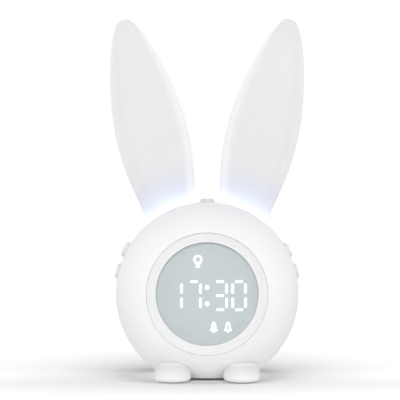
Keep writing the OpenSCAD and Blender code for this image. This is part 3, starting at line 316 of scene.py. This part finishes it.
def neck_column(inset, low, high):
    half_width, half_depth = neck_half_width - inset, neck_half_depth - inset
    deselect_all()
    bpy.ops.mesh.primitive_plane_add(size=1)
    column = bpy.context.object
    bpy.ops.object.mode_set(mode="EDIT")
    bpy.ops.mesh.select_mode(type="VERT")
    bpy.ops.transform.resize(value=(2 * half_width, 2 * half_depth, 1))
    bpy.ops.mesh.bevel(affect="VERTICES", offset=half_depth, segments=12, profile=0.5)
    bpy.ops.mesh.remove_doubles(threshold=0.01 * mm)
    bpy.ops.mesh.select_all(action="SELECT")
    bpy.ops.transform.translate(value=(0, 0, low))
    bpy.ops.mesh.extrude_region_move(TRANSFORM_OT_translate={"value": (0, 0, high - low)})
    bpy.ops.mesh.select_all(action="SELECT")
    bpy.ops.mesh.normals_make_consistent(inside=False)
    bpy.ops.object.mode_set(mode="OBJECT")
    stand_on_ball(column, root_tilt, ball)
    return column


def cut(piece, operation, cutter):
    apply_modifier(piece, "BOOLEAN", operation=operation, object=cutter, solver="EXACT")
    bpy.data.objects.remove(cutter)


cut(ear, "DIFFERENCE", ball_cutter(ball_radius + seat_gap))
cut(ear, "UNION", neck_column(0, neck_end, ball_radius + overlap))
print("faces with the neck:", len(ear.data.polygons))

# %% [markdown]
# ## The hollow
#
# A night light needs a thin, even wall, or it would glow in patches. A Solidify modifier could give
# one, but it would fold over itself in the narrow tip. A second, slimmer loft is a safer core: it
# is made exactly as the outer one, stops short of the tip, gets its own neck, and is then taken out
# of the ear, as the steel core is drawn out of the real moulding.

# %% Hollow the ear out
core_heights = [-0.075, -0.04, 0, 0.06, 0.15, 0.25, 0.36, 0.48, 0.6, 0.7, 0.78, 0.84, 0.88]
core = raise_oval("ear_core", core_heights, wall)
stand_on_ball(core, ear_lean, root_on_ball)
cut(core, "DIFFERENCE", ball_cutter(ball_radius + seat_gap + wall))
cut(core, "UNION", neck_column(wall, neck_end - core_overrun, ball_radius + seat_gap + 2 * wall))
cut(ear, "DIFFERENCE", core)
select_only(ear)
bpy.ops.object.shade_smooth_by_angle(angle=math.radians(35))
print("faces of the hollow ear:", len(ear.data.polygons))

# %% [markdown]
# ## The second ear
#
# The clock is the same on both sides, so the left ear is a mirrored copy with its own mesh. A
# mirror turns a shape inside out, and the copy's normals are made to point outwards again.

# %% Mirror the ear
select_only(ear)
bpy.ops.object.duplicate(linked=False)
other_ear = bpy.context.object
other_ear.name = "ear_shell_left"
other_ear.scale = (-1, 1, 1)
bpy.ops.object.transform_apply(location=True, rotation=True, scale=True)
bpy.ops.object.mode_set(mode="EDIT")
bpy.ops.mesh.select_all(action="SELECT")
bpy.ops.mesh.normals_make_consistent(inside=False)
bpy.ops.object.mode_set(mode="OBJECT")
for piece, node in ((ear, "ear_right"), (other_ear, "ear_left")):
    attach(piece, "clock")
    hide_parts(node)
    print(piece.name, "reaches up to", round(max(v.co.z for v in piece.data.vertices) / mm, 1), "mm")

# %% [markdown]
# ## How the finishes are made
#
# Every finish is procedural: Blender works it out from the position of each point on the
# part, which the Texture Coordinate node gives as Object coordinates. Those are metres, so a
# pattern that repeats every quarter of a millimetre has a scale of one over 0.00025.
#
# Colours are written as on a paint card, in sRGB hex, and one function turns them into the linear
# values that Blender counts in. A second function adds a node with its settings and links, and a
# third starts a material with the two nodes that all of them share. The next six each add one node
# that many materials need: a sum, the parts of a vector, a number on its way between two others,
# a distance, a mix of two colours and a ramp.


# %% Helpers for finishes
def linear(hex_colour):
    channels = [int(hex_colour[i : i + 2], 16) / 255 for i in (1, 3, 5)]
    return [c / 12.92 if c <= 0.04045 else ((c + 0.055) / 1.055) ** 2.4 for c in channels] + [1]


def add_node(tree, kind, settings=None, inputs=None):
    node = tree.nodes.new(kind)
    for name, value in (settings or {}).items():
        setattr(node, name, value)
    for name, value in (inputs or {}).items():
        if isinstance(value, bpy.types.NodeSocket):
            tree.links.new(value, node.inputs[name])
        else:
            node.inputs[name].default_value = value
    return node


def start_material(name, **shader_values):
    material = bpy.data.materials.new(name)
    material.use_nodes = True
    tree = material.node_tree
    tree.nodes.clear()
    place = add_node(tree, "ShaderNodeTexCoord").outputs["Object"]
    shader = add_node(tree, "ShaderNodeBsdfPrincipled", inputs=shader_values)
    add_node(tree, "ShaderNodeOutputMaterial", inputs={"Surface": shader.outputs["BSDF"]})
    return material, tree, place, shader


def calculate(tree, operation, *values):
    return add_node(tree, "ShaderNodeMath", {"operation": operation}, dict(enumerate(values))).outputs[0]


def parts_of(tree, vector):
    return add_node(tree, "ShaderNodeSeparateXYZ", inputs={0: vector}).outputs


def rescale(tree, value, low, high, at_low=0, at_high=1):
    """Gives at_low where the value is low or less, at_high where it is high or more."""
    span = {"Value": value, "From Min": low, "From Max": high, "To Min": at_low, "To Max": at_high}
    return add_node(tree, "ShaderNodeMapRange", inputs=span).outputs["Result"]


def distance_from(tree, place, point):
    apart = add_node(tree, "ShaderNodeVectorMath", {"operation": "DISTANCE"}, {0: place, 1: tuple(point)})
    return apart.outputs["Value"]


def mix_colours(tree, factor, low, high):
    """Mixes two colours, each a hex value or another node's output."""
    low, high = (linear(c) if isinstance(c, str) else c for c in (low, high))
    return add_node(tree, "ShaderNodeMix", {"data_type": "RGBA"}, {0: factor, 6: low, 7: high}).outputs[2]


def ramp(tree, value, stops):
    """Gives a colour, or a plain number, for each value between 0 and 1."""
    node = add_node(tree, "ShaderNodeValToRGB", inputs={"Fac": value})
    while len(node.color_ramp.elements) < len(stops):
        node.color_ramp.elements.new(0.5)
    for element, (position, colour) in zip(node.color_ramp.elements, stops):
        element.position = position
        element.color = (*(colour if isinstance(colour, tuple) else (colour,) * 3), 1)
    return node.outputs["Color"]


print("node helpers ready")

# %% [markdown]
# ## Unevenness
#
# Nothing real is quite even, so every finish here varies a little in colour, gloss and relief. Four
# more helpers do that. One gives soft patches of a real size, one runs a shader's socket between two
# values or colours in such patches, and one turns a height into a relief. The last gives
# the grain of a spark-eroded mould, which most of the clock's plastics share.


# %% Helpers for unevenness
def patches(tree, place, size, detail=2, **more):
    settings = {"Vector": place, "Scale": 1 / size, "Detail": detail, **more}
    return add_node(tree, "ShaderNodeTexNoise", inputs=settings).outputs["Fac"]


def vary(tree, place, size, low, high, socket, detail=2):
    amount = patches(tree, place, size, detail)
    if isinstance(low, str):
        tree.links.new(mix_colours(tree, amount, low, high), socket)
    else:
        tree.links.new(rescale(tree, amount, 0, 1, low, high), socket)
    return amount


def emboss(tree, height, depth, shader, strength=1):
    """Turns a height between 0 and 1 into a relief that is so many metres deep."""
    relief = {"Height": height, "Distance": depth, "Strength": strength}
    bump = add_node(tree, "ShaderNodeBump", inputs=relief)
    tree.links.new(bump.outputs["Normal"], shader.inputs["Normal"])


grain_size = 0.25 * mm
grain_depth = 0.006 * mm


def spark_eroded_grain(tree, place, shader):
    emboss(tree, patches(tree, place, grain_size, detail=3), grain_depth, shader, 0.6)


print("grain of the mould in mm:", grain_size / mm)

# %% [markdown]
# ## White satin plastic
#
# The body is moulded in white ABS. The mould was spark-eroded, and that leaves a very fine grain
# that turns a gloss into a satin sheen. The grain is about a quarter of a millimetre, too fine to
# see as dots at this distance, so patches of roughness some millimetres wide go with it and keep the
# highlight from being perfect. Around the roots of the ears the white is painted bluish and a
# little darker: a painted spill of the ears' glow, with painted shade where the ears meet the ball.
# The body is the same on both sides, so the sides are folded together before the distance to the
# root of an ear is measured.

# %% Make the white satin plastic
satin_white, tree, place, shader = start_material("moulded_white_abs_satin", IOR=1.54)
white = mix_colours(tree, patches(tree, place, 22 * mm), "#EFEFF0", "#F3F3F3")
across, depth, up = parts_of(tree, place)
one_side = {"X": calculate(tree, "ABSOLUTE", across), "Y": depth, "Z": up}
one_side = add_node(tree, "ShaderNodeCombineXYZ", inputs=one_side).outputs[0]
# Painted glow and shade: near the ears' roots the base colour turns bluish and darker.
painted_glow_full, painted_glow_gone = 9 * mm, 16 * mm
painted_glow_near_ear = rescale(tree, distance_from(tree, one_side, root_on_ball), painted_glow_full, painted_glow_gone, 1, 0)
tree.links.new(mix_colours(tree, painted_glow_near_ear, white, "#DDE2F4"), shader.inputs["Base Color"])
vary(tree, place, 4 * mm, 0.4, 0.5, shader.inputs["Roughness"], detail=6)
spark_eroded_grain(tree, place, shader)
print("made:", satin_white.name)

# %% [markdown]
# ## The feet
#
# The feet are the same plastic, with painted shade from the ball above: a grey a shade deeper
# than the body, deepest well up the foot, near the ball, and paler towards the table.

# %% Make the feet's finish
foot_top = 10 * mm
foot_white_painted_shade, tree, place, shader = start_material("moulded_white_abs_foot", IOR=1.54)
up = rescale(tree, parts_of(tree, place)["Z"], 0, foot_top)
# Painted shade: the grey deepens up the foot, towards the ball.
foot_painted_shade_stops = [(0.05, 0.88), (0.36, 0.79), (0.6, 0.71), (0.8, 0.7), (0.9, 0.8)]
tree.links.new(ramp(tree, up, foot_painted_shade_stops), shader.inputs["Base Color"])
vary(tree, place, 4 * mm, 0.4, 0.5, shader.inputs["Roughness"], detail=6)
spark_eroded_grain(tree, place, shader)
print("made:", foot_white_painted_shade.name)

# %% [markdown]
# ## The bezel
#
# The ring around the display is the same plastic, but its mould was turned on a lathe. The tool
# left fine rings around the ball's axis, and they catch the light as faint circles. The distance
# from that axis drives a wave with one crest for each pass of the tool. Real passes are a tenth of
# a millimetre apart; here they are ten times coarser so that they show.


# %% Make the turned bezel finish
def distance_from_axis(tree, place):
    """How far a point is from the level line through the ball's middle and the display's."""
    across, _, up = parts_of(tree, place)
    beside_ball = add_node(tree, "ShaderNodeCombineXYZ", inputs={"X": across, "Y": ball.y, "Z": up})
    return distance_from(tree, beside_ball.outputs[0], ball)


tool_pass = 1.0 * mm
turned_white, tree, place, shader = start_material("turned_white_abs", IOR=1.54)
vary(tree, place, 16 * mm, "#E3E3E4", "#E7E7E7", shader.inputs["Base Color"])
vary(tree, place, 3 * mm, 0.38, 0.46, shader.inputs["Roughness"], detail=4)
turns = calculate(tree, "MULTIPLY", distance_from_axis(tree, place), 2 * math.pi / tool_pass)
emboss(tree, rescale(tree, calculate(tree, "SINE", turns), -1, 1), 0.02 * mm, shader, 0.8)
print("made:", turned_white.name)

# %% [markdown]
# ## Light grey plastic
#
# The five buttons are ABS too, tinted light grey so that they stand out a little from the body,
# with the same spark-eroded grain. The four at the sides are a paler batch than the one on top.


# %% Make the grey plastics
def grey_plastic(name, low, high):
    material, tree, place, shader = start_material(name, IOR=1.54)
    vary(tree, place, 6 * mm, low, high, shader.inputs["Base Color"])
    vary(tree, place, 2 * mm, 0.42, 0.52, shader.inputs["Roughness"], detail=4)
    spark_eroded_grain(tree, place, shader)
    return material


satin_grey = grey_plastic("moulded_grey_abs_satin", "#CCCCCB", "#D0D0CF")
satin_pale_grey = grey_plastic("moulded_pale_grey_abs_satin", "#DEDEDE", "#E2E2E2")
print("made:", satin_grey.name, satin_pale_grey.name)

# %% [markdown]
# ## Frosted polypropylene
#
# The ears are moulded in natural polypropylene, which is milky and lets light through without
# showing what is behind it. A cool white lamp stands in each neck. Its light travels up
# the wall and is used up on the way, so the ear is pure white where it leaves the ball, bluish a
# little higher, and plain above.
#
# True scattered light would need thousands of samples to be free of noise. The fall of the light
# is known, though: it depends on the distance from the ball. So a ramp along that distance gives
# the colour of the glow, and a second one paints the glow's bluish cast into the plastic's white
# where the glow fades out. The long edges, where the wall is seen edge-on, get a painted highlight,
# stronger at the inner one: a third ramp adds it as glow, by how far the surface turns outwards.

# %% Make the frosted, glowing plastic
glow_reach = 24 * mm
frosted, tree, place, shader = start_material("frosted_polypropylene_lit", IOR=1.49)
milky = mix_colours(tree, patches(tree, place, 30 * mm), "#D5D5D6", "#D9D9DA")
vary(tree, place, 5 * mm, 0.46, 0.56, shader.inputs["Roughness"], detail=5)
emboss(tree, patches(tree, place, 0.4 * mm, detail=3), 0.008 * mm, shader, 0.6)
above_ball = rescale(tree, distance_from(tree, place, ball), ball_radius, ball_radius + glow_reach)
glow_stops = [
    (0.0, (0.34, 0.36, 0.36)),
    (0.08, (0.26, 0.31, 0.33)),
    (0.17, (0.13, 0.2, 0.25)),
    (0.26, (0.06, 0.1, 0.2)),
    (0.36, (0.03, 0.045, 0.14)),
    (0.48, (0.012, 0.015, 0.07)),
    (0.65, (0.004, 0.004, 0.02)),
    (1.0, (0.0, 0.0, 0.0)),
]
glow = ramp(tree, above_ball, glow_stops)
# Painted light: the glow's bluish cast is laid into the plastic's base colour.
painted_glow_tint_stops = [
    (0.0, (1.0, 1.0, 1.0)),
    (0.3, (0.97, 0.98, 0.98)),
    (0.5, (0.93, 0.96, 0.98)),
    (0.73, (0.96, 0.96, 1.0)),
    (1.0, (1.0, 1.0, 1.0)),
]
painted_glow_tint = ramp(tree, above_ball, painted_glow_tint_stops)
cooled = add_node(tree, "ShaderNodeVectorMath", {"operation": "MULTIPLY"}, {0: milky, 1: painted_glow_tint})
tree.links.new(cooled.outputs["Vector"], shader.inputs["Base Color"])
facing = parts_of(tree, add_node(tree, "ShaderNodeTexCoord").outputs["Normal"])["X"]
side = calculate(tree, "SIGN", parts_of(tree, place)["X"])
outward = rescale(tree, calculate(tree, "MULTIPLY", facing, side), -1, 1)
# Painted highlight: emission on the long edges, more on the inner one.
painted_edge_highlight_stops = [
    (0.0, 0.2), (0.175, 0.17), (0.275, 0.12), (0.35, 0.05), (0.425, 0.0),
    (0.6, 0.0), (0.75, 0.055), (0.88, 0.11), (1.0, 0.18),
]
painted_edge_highlight = ramp(tree, outward, painted_edge_highlight_stops)
light = add_node(tree, "ShaderNodeVectorMath", {"operation": "ADD"}, {0: glow, 1: painted_edge_highlight})
tree.links.new(light.outputs["Vector"], shader.inputs["Emission Color"])
shader.inputs["Emission Strength"].default_value = 1
print("made:", frosted.name, "with", len(glow_stops), "stops of glow")

# %% [markdown]
# ## The window
#
# The display's window is a flat disc of polished acrylic with a slight cool tint. It is so clear
# and thin that real refraction would change nothing but the render's noise, so it is drawn as a
# mostly transparent coat with acrylic's gloss. A trace of moulding waviness keeps its reflection
# alive.

# %% Make the clear acrylic
acrylic, tree, place, shader = start_material("polished_acrylic_window", IOR=1.49, Alpha=0.18)
vary(tree, place, 20 * mm, "#D3DCDF", "#D8E0E3", shader.inputs["Base Color"])
vary(tree, place, 8 * mm, 0.04, 0.08, shader.inputs["Roughness"])
emboss(tree, patches(tree, place, 9 * mm, detail=1), 0.01 * mm, shader, 0.3)
print("made:", acrylic.name)

# %% [markdown]
# ## The printed mask
#
# Behind the window lies a film, screen-printed in a cool grey. The ink goes on through a mesh, and
# that leaves a faint weave of dots, here 0.6 mm apart so that it can just be told. The segments
# that are not lit are the same grey, so they vanish, as they do on the real display. Towards the
# rim the grey is painted paler: painted light that offsets the shade of the bezel's lip on the film.

# %% Make the printed grey film
mesh_dot = 0.6 * mm
rim_start, rim_end = 22.5 * mm, 25 * mm
printed_grey, tree, place, shader = start_material("screen_printed_grey_film", IOR=1.5, Roughness=0.6)
weave = {"Vector": place, "Scale": 1 / mesh_dot, "Randomness": 0.15}
dots = add_node(tree, "ShaderNodeTexVoronoi", {"feature": "F1"}, weave).outputs["Distance"]
blend = calculate(tree, "MULTIPLY_ADD", dots, 0.25, patches(tree, place, 14 * mm))
ink = mix_colours(tree, blend, "#C4CCCD", "#CAD1D2")
# Painted light: the grey turns paler towards the rim.
painted_light_near_rim = rescale(tree, distance_from_axis(tree, place), rim_start, rim_end)
tree.links.new(mix_colours(tree, painted_light_near_rim, ink, "#E4EAEA"), shader.inputs["Base Color"])
emboss(tree, dots, 0.004 * mm, shader, 0.3)
print("made:", printed_grey.name)

# %% [markdown]
# ## Lit segments and icons
#
# The openings in the mask are closed with a white diffusing film that is lit from behind. The film
# spreads each lamp's light, but not quite evenly: its glow is a touch brighter in soft patches.
# Its glow is close to pure white, and a strength a little under one keeps it from burning out.

# %% Make the lit film
lit_film, tree, place, shader = start_material("diffusing_film_lit", IOR=1.5, Roughness=0.5)
shader.inputs["Base Color"].default_value = linear("#E8EAEC")
vary(tree, place, 3 * mm, "#F6FAFB", "#FFFFFF", shader.inputs["Emission Color"])
shader.inputs["Emission Strength"].default_value = 0.75
emboss(tree, patches(tree, place, 0.5 * mm), 0.003 * mm, shader, 0.3)
print("made:", lit_film.name)

# %% [markdown]
# ## White polystyrene inside
#
# The light guide, the lamp bases and the trays are moulded in a plain glossy white polystyrene. Nobody
# was meant to see them, so their moulds were only milled, which leaves faint straight lines.

# %% Make the inner white plastic
cutter_step = 0.4 * mm
inner_white, tree, place, shader = start_material("milled_mould_white_polystyrene", IOR=1.59)
vary(tree, place, 8 * mm, "#E4E4E2", "#EAEAE9", shader.inputs["Base Color"])
vary(tree, place, 3 * mm, 0.28, 0.38, shader.inputs["Roughness"], detail=4)
milled = add_node(
    tree,
    "ShaderNodeTexWave",
    {"wave_type": "BANDS", "bands_direction": "DIAGONAL"},
    {"Vector": place, "Scale": 1 / (20 * cutter_step), "Distortion": 0.6, "Detail": 1},
)
emboss(tree, milled.outputs["Fac"], 0.01 * mm, shader, 0.5)
print("made:", inner_white.name)

# %% [markdown]
# ## Circuit boards
#
# A circuit board is glass cloth in epoxy, covered with green solder mask. Under the mask the copper
# tracks show as lighter bands with sharp edges. A brick pattern, whose bricks are as long as a
# run of track, gives such bands, and the lacquer on top gives them their wet gloss.

# %% Make the solder mask
track = 1.2 * mm
board_green, tree, place, shader = start_material("green_solder_mask", IOR=1.52, Roughness=0.3)
tracks = add_node(
    tree,
    "ShaderNodeTexBrick",
    {"offset": 0.37, "squash": 1.0},
    {
        "Vector": place,
        "Color1": linear("#1C6B38"),
        "Color2": linear("#175C31"),
        "Mortar": linear("#124A28"),
        "Scale": 1 / (4 * track),
        "Mortar Size": 0.03,
        "Mortar Smooth": 0.1,
    },
)
tree.links.new(tracks.outputs["Color"], shader.inputs["Base Color"])
emboss(tree, tracks.outputs["Fac"], -0.03 * mm, shader, 0.6)
print("made:", board_green.name)

# %% [markdown]
# ## The lamps' phosphor
#
# A white light-emitting diode is a blue chip under a drop of resin full of yellow phosphor. The grains
# of phosphor are a few hundredths of a millimetre across and make the yellow a little mealy.

# %% Make the phosphor
phosphor, tree, place, shader = start_material("phosphor_in_silicone", IOR=1.41)
vary(tree, place, 0.15 * mm, "#E3CF6A", "#F2E08A", shader.inputs["Base Color"], detail=3)
vary(tree, place, 0.5 * mm, 0.25, 0.4, shader.inputs["Roughness"])
shader.inputs["Emission Color"].default_value = linear("#FFF3C8")
shader.inputs["Emission Strength"].default_value = 0.3
print("made:", phosphor.name)

# %% [markdown]
# ## Black epoxy
#
# Chips, plugs and switch bodies are moulded in black epoxy filled with ground quartz. The filler
# shows as a dense, slightly sparkling grey grain on an otherwise dull black.

# %% Make the black epoxy
black_epoxy, tree, place, shader = start_material("moulded_black_epoxy", IOR=1.55)
vary(tree, place, 0.2 * mm, "#141415", "#262628", shader.inputs["Base Color"], detail=5)
filler = vary(tree, place, 0.12 * mm, 0.45, 0.65, shader.inputs["Roughness"], detail=4)
emboss(tree, filler, 0.01 * mm, shader, 0.6)
print("made:", black_epoxy.name)

# %% [markdown]
# ## Silicone rubber
#
# The pads under the clock are stamped from a sheet of milky silicone. It is soft to the touch,
# nearly free of gloss, and picks up fine dust, which shows as pale specks in its roughness.

# %% Make the rubber
silicone, tree, place, shader = start_material("milky_silicone_rubber", IOR=1.41)
vary(tree, place, 5 * mm, "#B9B9BA", "#C6C6C7", shader.inputs["Base Color"], detail=4)
dust = vary(tree, place, 0.4 * mm, 0.6, 0.85, shader.inputs["Roughness"], detail=6)
emboss(tree, dust, 0.02 * mm, shader, 0.5)
print("made:", silicone.name)

# %% [markdown]
# ## Coated paper
#
# The speaker's cone is pressed from black paper pulp and lacquered. The fibres, a millimetre or so long,
# lie every way and show as short raised threads under the lacquer.

# %% Make the cone's paper
cone_paper, tree, place, shader = start_material("lacquered_black_pulp", IOR=1.5, Roughness=0.55)
vary(tree, place, 2 * mm, "#101011", "#1D1C1B", shader.inputs["Base Color"], detail=6)
fibres = patches(tree, place, 0.6 * mm, detail=6, Distortion=2.5)
emboss(tree, fibres, 0.05 * mm, shader, 0.8)
print("made:", cone_paper.name)

# %% [markdown]
# ## Metals
#
# Screws, the speaker's basket and the socket's shell are zinc-plated steel: bright, slightly bluish,
# and crystalline in patches of about a millimetre. The magnet is nickel-plated and darker. The battery
# is wrapped in aluminium laminate, which is never flat: it has shallow creases some millimetres
# apart.

# %% Make the metals
zinc, tree, place, shader = start_material("zinc_plated_steel", Metallic=1.0)
crystals = add_node(tree, "ShaderNodeTexVoronoi", inputs={"Vector": place, "Scale": 1 / (0.8 * mm)})
sheen = mix_colours(tree, crystals.outputs["Distance"], "#C9CBCE", "#B4B7BC")
tree.links.new(sheen, shader.inputs["Base Color"])
vary(tree, place, 0.5 * mm, 0.22, 0.36, shader.inputs["Roughness"], detail=4)

nickel, tree, place, shader = start_material("nickel_plated_magnet", Metallic=1.0)
vary(tree, place, 3 * mm, "#8F9092", "#9FA0A1", shader.inputs["Base Color"], detail=3)
pits = vary(tree, place, 0.3 * mm, 0.2, 0.4, shader.inputs["Roughness"], detail=5)
emboss(tree, pits, 0.01 * mm, shader, 0.4)

foil, tree, place, shader = start_material("aluminium_laminate", Metallic=1.0)
vary(tree, place, 6 * mm, "#C4C5C7", "#D0D1D2", shader.inputs["Base Color"])
creases = vary(tree, place, 5 * mm, 0.25, 0.42, shader.inputs["Roughness"], detail=3)
emboss(tree, creases, 0.4 * mm, shader, 0.5)
print("made:", zinc.name, nickel.name, foil.name)

# %% [markdown]
# ## Dressing the parts
#
# Each CAD part keeps its shape and gets the finish of the real part in its material slot. The list
# goes from the outside of the clock to its inside, so that it can be read beside the clock when
# it is taken apart.

# %% Give every part its finish
finishes = {
    satin_white: ["front_shell", "rear_shell"],
    foot_white_painted_shade: ["foot_left", "foot_right"],
    turned_white: ["bezel_ring"],
    satin_grey: ["button_top"],
    satin_pale_grey: ["button_upper_left", "button_lower_left", "button_upper_right", "button_lower_right"],
    acrylic: ["display_window"],
    printed_grey: ["display_mask", "segments_unlit"],
    lit_film: ["segments_lit", "icon_windows"],
    inner_white: [
        "light_guide", "ear_light_base_left", "ear_light_base_right",
        "ear_light_board_left", "ear_light_board_right", "speaker_clamp", "battery_tray",
    ],
    board_green: [
        "display_board", "switch_board_top", "switch_board_left", "switch_board_right", "charging_board",
    ],
    phosphor: ["display_leds", "ear_leds"],
    black_epoxy: [
        "display_chips", "push_switches", "usb_tongue", "plunger_top", "plunger_upper_left",
        "plunger_lower_left", "plunger_upper_right", "plunger_lower_right",
    ],
    silicone: ["foot_pads", "rear_pads", "battery_foam"],
    cone_paper: ["speaker_cone"],
    zinc: ["foot_screws", "case_screws", "small_screws", "usb_shell", "speaker_frame"],
    nickel: ["speaker_magnet"],
    foil: ["battery_cell"],
    frosted: ["ear_left", "ear_right"],
}


def dress(piece, material):
    piece.data.materials.clear()
    piece.data.materials.append(material)


for material, names in finishes.items():
    for name in names:
        dress(nodes[name], material)
for piece in (ear, other_ear):
    dress(piece, frosted)
plain = sorted(set(nodes) - {name for names in finishes.values() for name in names})
print("parts still without a finish:", plain)

# %% [markdown]
# ## The table and the background
#
# The clock stands on a plain white table that runs on into a white background. The table is a large
# plane with a matt lacquer. Light that bounces off it sees an ordinary white; the camera sees a
# white that is a step paler, just enough for the open table to match the background.
#
# A white ball throws so much light down that its shadow all but fills in. An Ambient Occlusion
# node, which measures how much of the sky the clock hides from each spot, brings the soft shadow
# back as painted shade. It looks up along a direction that leans towards the camera, as the main
# light does, so the shadow lies a little behind the clock. Two ramps from front to back finish it:
# one says how much of the shadow is kept, so that it fades out far in front and far behind, and the
# other paints bands of light and shade into the table's brightness.

# %% Lay the table
table_size, table_back = 12, 3
deselect_all()
bpy.ops.mesh.primitive_plane_add(size=table_size, location=(0, table_back, 0))
table = bpy.context.object
table.name = "table"
bpy.ops.object.transform_apply(location=True, rotation=True, scale=True)
lacquer, tree, place, shader = start_material("matt_white_lacquer", IOR=1.0, Roughness=0.9)
white = mix_colours(tree, patches(tree, place, 300 * mm), "#F2F2F2", "#F5F5F5")

lean = math.radians(20)
sideways = 0.1
hidden_sky_reach = 0.6
leaning = {"X": sideways, "Y": -math.sin(lean), "Z": math.cos(lean)}
leaning = add_node(tree, "ShaderNodeCombineXYZ", inputs=leaning).outputs[0]
sky = {"Distance": hidden_sky_reach, "Normal": leaning}
openness = add_node(tree, "ShaderNodeAmbientOcclusion", {"samples": 8}, sky).outputs["AO"]
shade_stops = [
    (0.0, 0.8), (0.25, 0.6), (0.38, 0.38), (0.46, 0.31), (0.5, 0.32),
    (0.67, 0.525), (0.79, 0.65), (0.95, 0.78), (1.0, 0.9),
]
shade = ramp(tree, openness, shade_stops)

front_end, back_end = -120 * mm, 300 * mm
along = rescale(tree, parts_of(tree, place)["Y"], front_end, back_end)
kept_stops = [
    (0.05, 0.0), (0.1, 0.88), (0.2, 0.8), (0.31, 0.8), (0.36, 0.98),
    (0.42, 1.0), (0.48, 0.87), (0.63, 0.6), (0.83, 0.15), (0.97, 0.0),
]
shade_kept = ramp(tree, along, kept_stops)
shaded = add_node(tree, "ShaderNodeMix", {"data_type": "FLOAT"}, {0: shade_kept, 2: 1.0, 3: shade}).outputs[0]
# Painted light and shade: the table's brightness rises and falls from front to back.
painted_light_sweep_stops = [
    (0.06, 0.8), (0.18, 0.72), (0.22, 0.735), (0.26, 0.8),
    (0.3, 0.83), (0.36, 0.86), (0.41, 0.855), (0.5, 0.82), (0.63, 0.79),
]
open_level, bounce_level = 2.125, 1.08
swept = calculate(tree, "MULTIPLY", shaded, ramp(tree, along, painted_light_sweep_stops))
camera_level = calculate(tree, "MULTIPLY", swept, open_level)
seen = add_node(tree, "ShaderNodeLightPath").outputs["Is Camera Ray"]
level = rescale(tree, seen, 0, 1, bounce_level, camera_level)
paler = add_node(tree, "ShaderNodeVectorMath", {"operation": "SCALE"}, {0: white, "Scale": level})
matt = add_node(tree, "ShaderNodeBsdfDiffuse", inputs={"Color": paler.outputs["Vector"]})
tree.nodes.remove(shader)
add_node(tree, "ShaderNodeOutputMaterial", inputs={"Surface": matt.outputs["BSDF"]}).is_active_output = True
dress(table, lacquer)
print("table laid, in metres across:", table_size)

# %% [markdown]
# ## The light
#
# White things are lit evenly, or they turn grey. Most of the light here comes from all around, as in
# a light tent, and that gives the clock its soft shadow on both sides. The tent is brightest near
# the table and darker overhead, which keeps the top of the ball from washing out. One large lamp in
# front makes the ball brightest where it faces the camera and lets its outline fall off.
# The camera, mirrors and glass see the tent as plain white.

# %% Set up the tent and the lamp
horizon_light = 1.42
zenith_light = 0.3
world = bpy.data.worlds.new("light_tent")
scene.world = world
world.use_nodes = True
tree = world.node_tree
tree.nodes.clear()
rays = add_node(tree, "ShaderNodeLightPath").outputs
seen_or_mirrored = rays["Is Camera Ray"]
for kind in ("Is Transmission Ray", "Is Glossy Ray"):
    seen_or_mirrored = calculate(tree, "MAXIMUM", seen_or_mirrored, rays[kind])
upward = parts_of(tree, add_node(tree, "ShaderNodeTexCoord").outputs["Generated"])["Z"]
tent = rescale(tree, upward, 0, 1, horizon_light, zenith_light)
strength = rescale(tree, seen_or_mirrored, 0, 1, tent, 1)
tent_light = {"Color": linear("#FFFFFF"), "Strength": strength}
background = add_node(tree, "ShaderNodeBackground", inputs=tent_light)
add_node(tree, "ShaderNodeOutputWorld", inputs={"Surface": background.outputs[0]})

lamp_place = Vector((0, -1.3, 0.55))
lamp_target = ball + Vector((0, 0, 40 * mm))
deselect_all()
bpy.ops.object.light_add(type="AREA", location=lamp_place)
lamp = bpy.context.object
lamp.name = "front_lamp"
lamp.data.shape = "RECTANGLE"
lamp.data.size = 1.0
lamp.data.size_y = 0.8
lamp.data.energy = 6.2
lamp.rotation_euler = (lamp_target - lamp_place).to_track_quat("-Z", "Y").to_euler()
print("lamp:", lamp.name, "at", lamp.data.energy, "W")
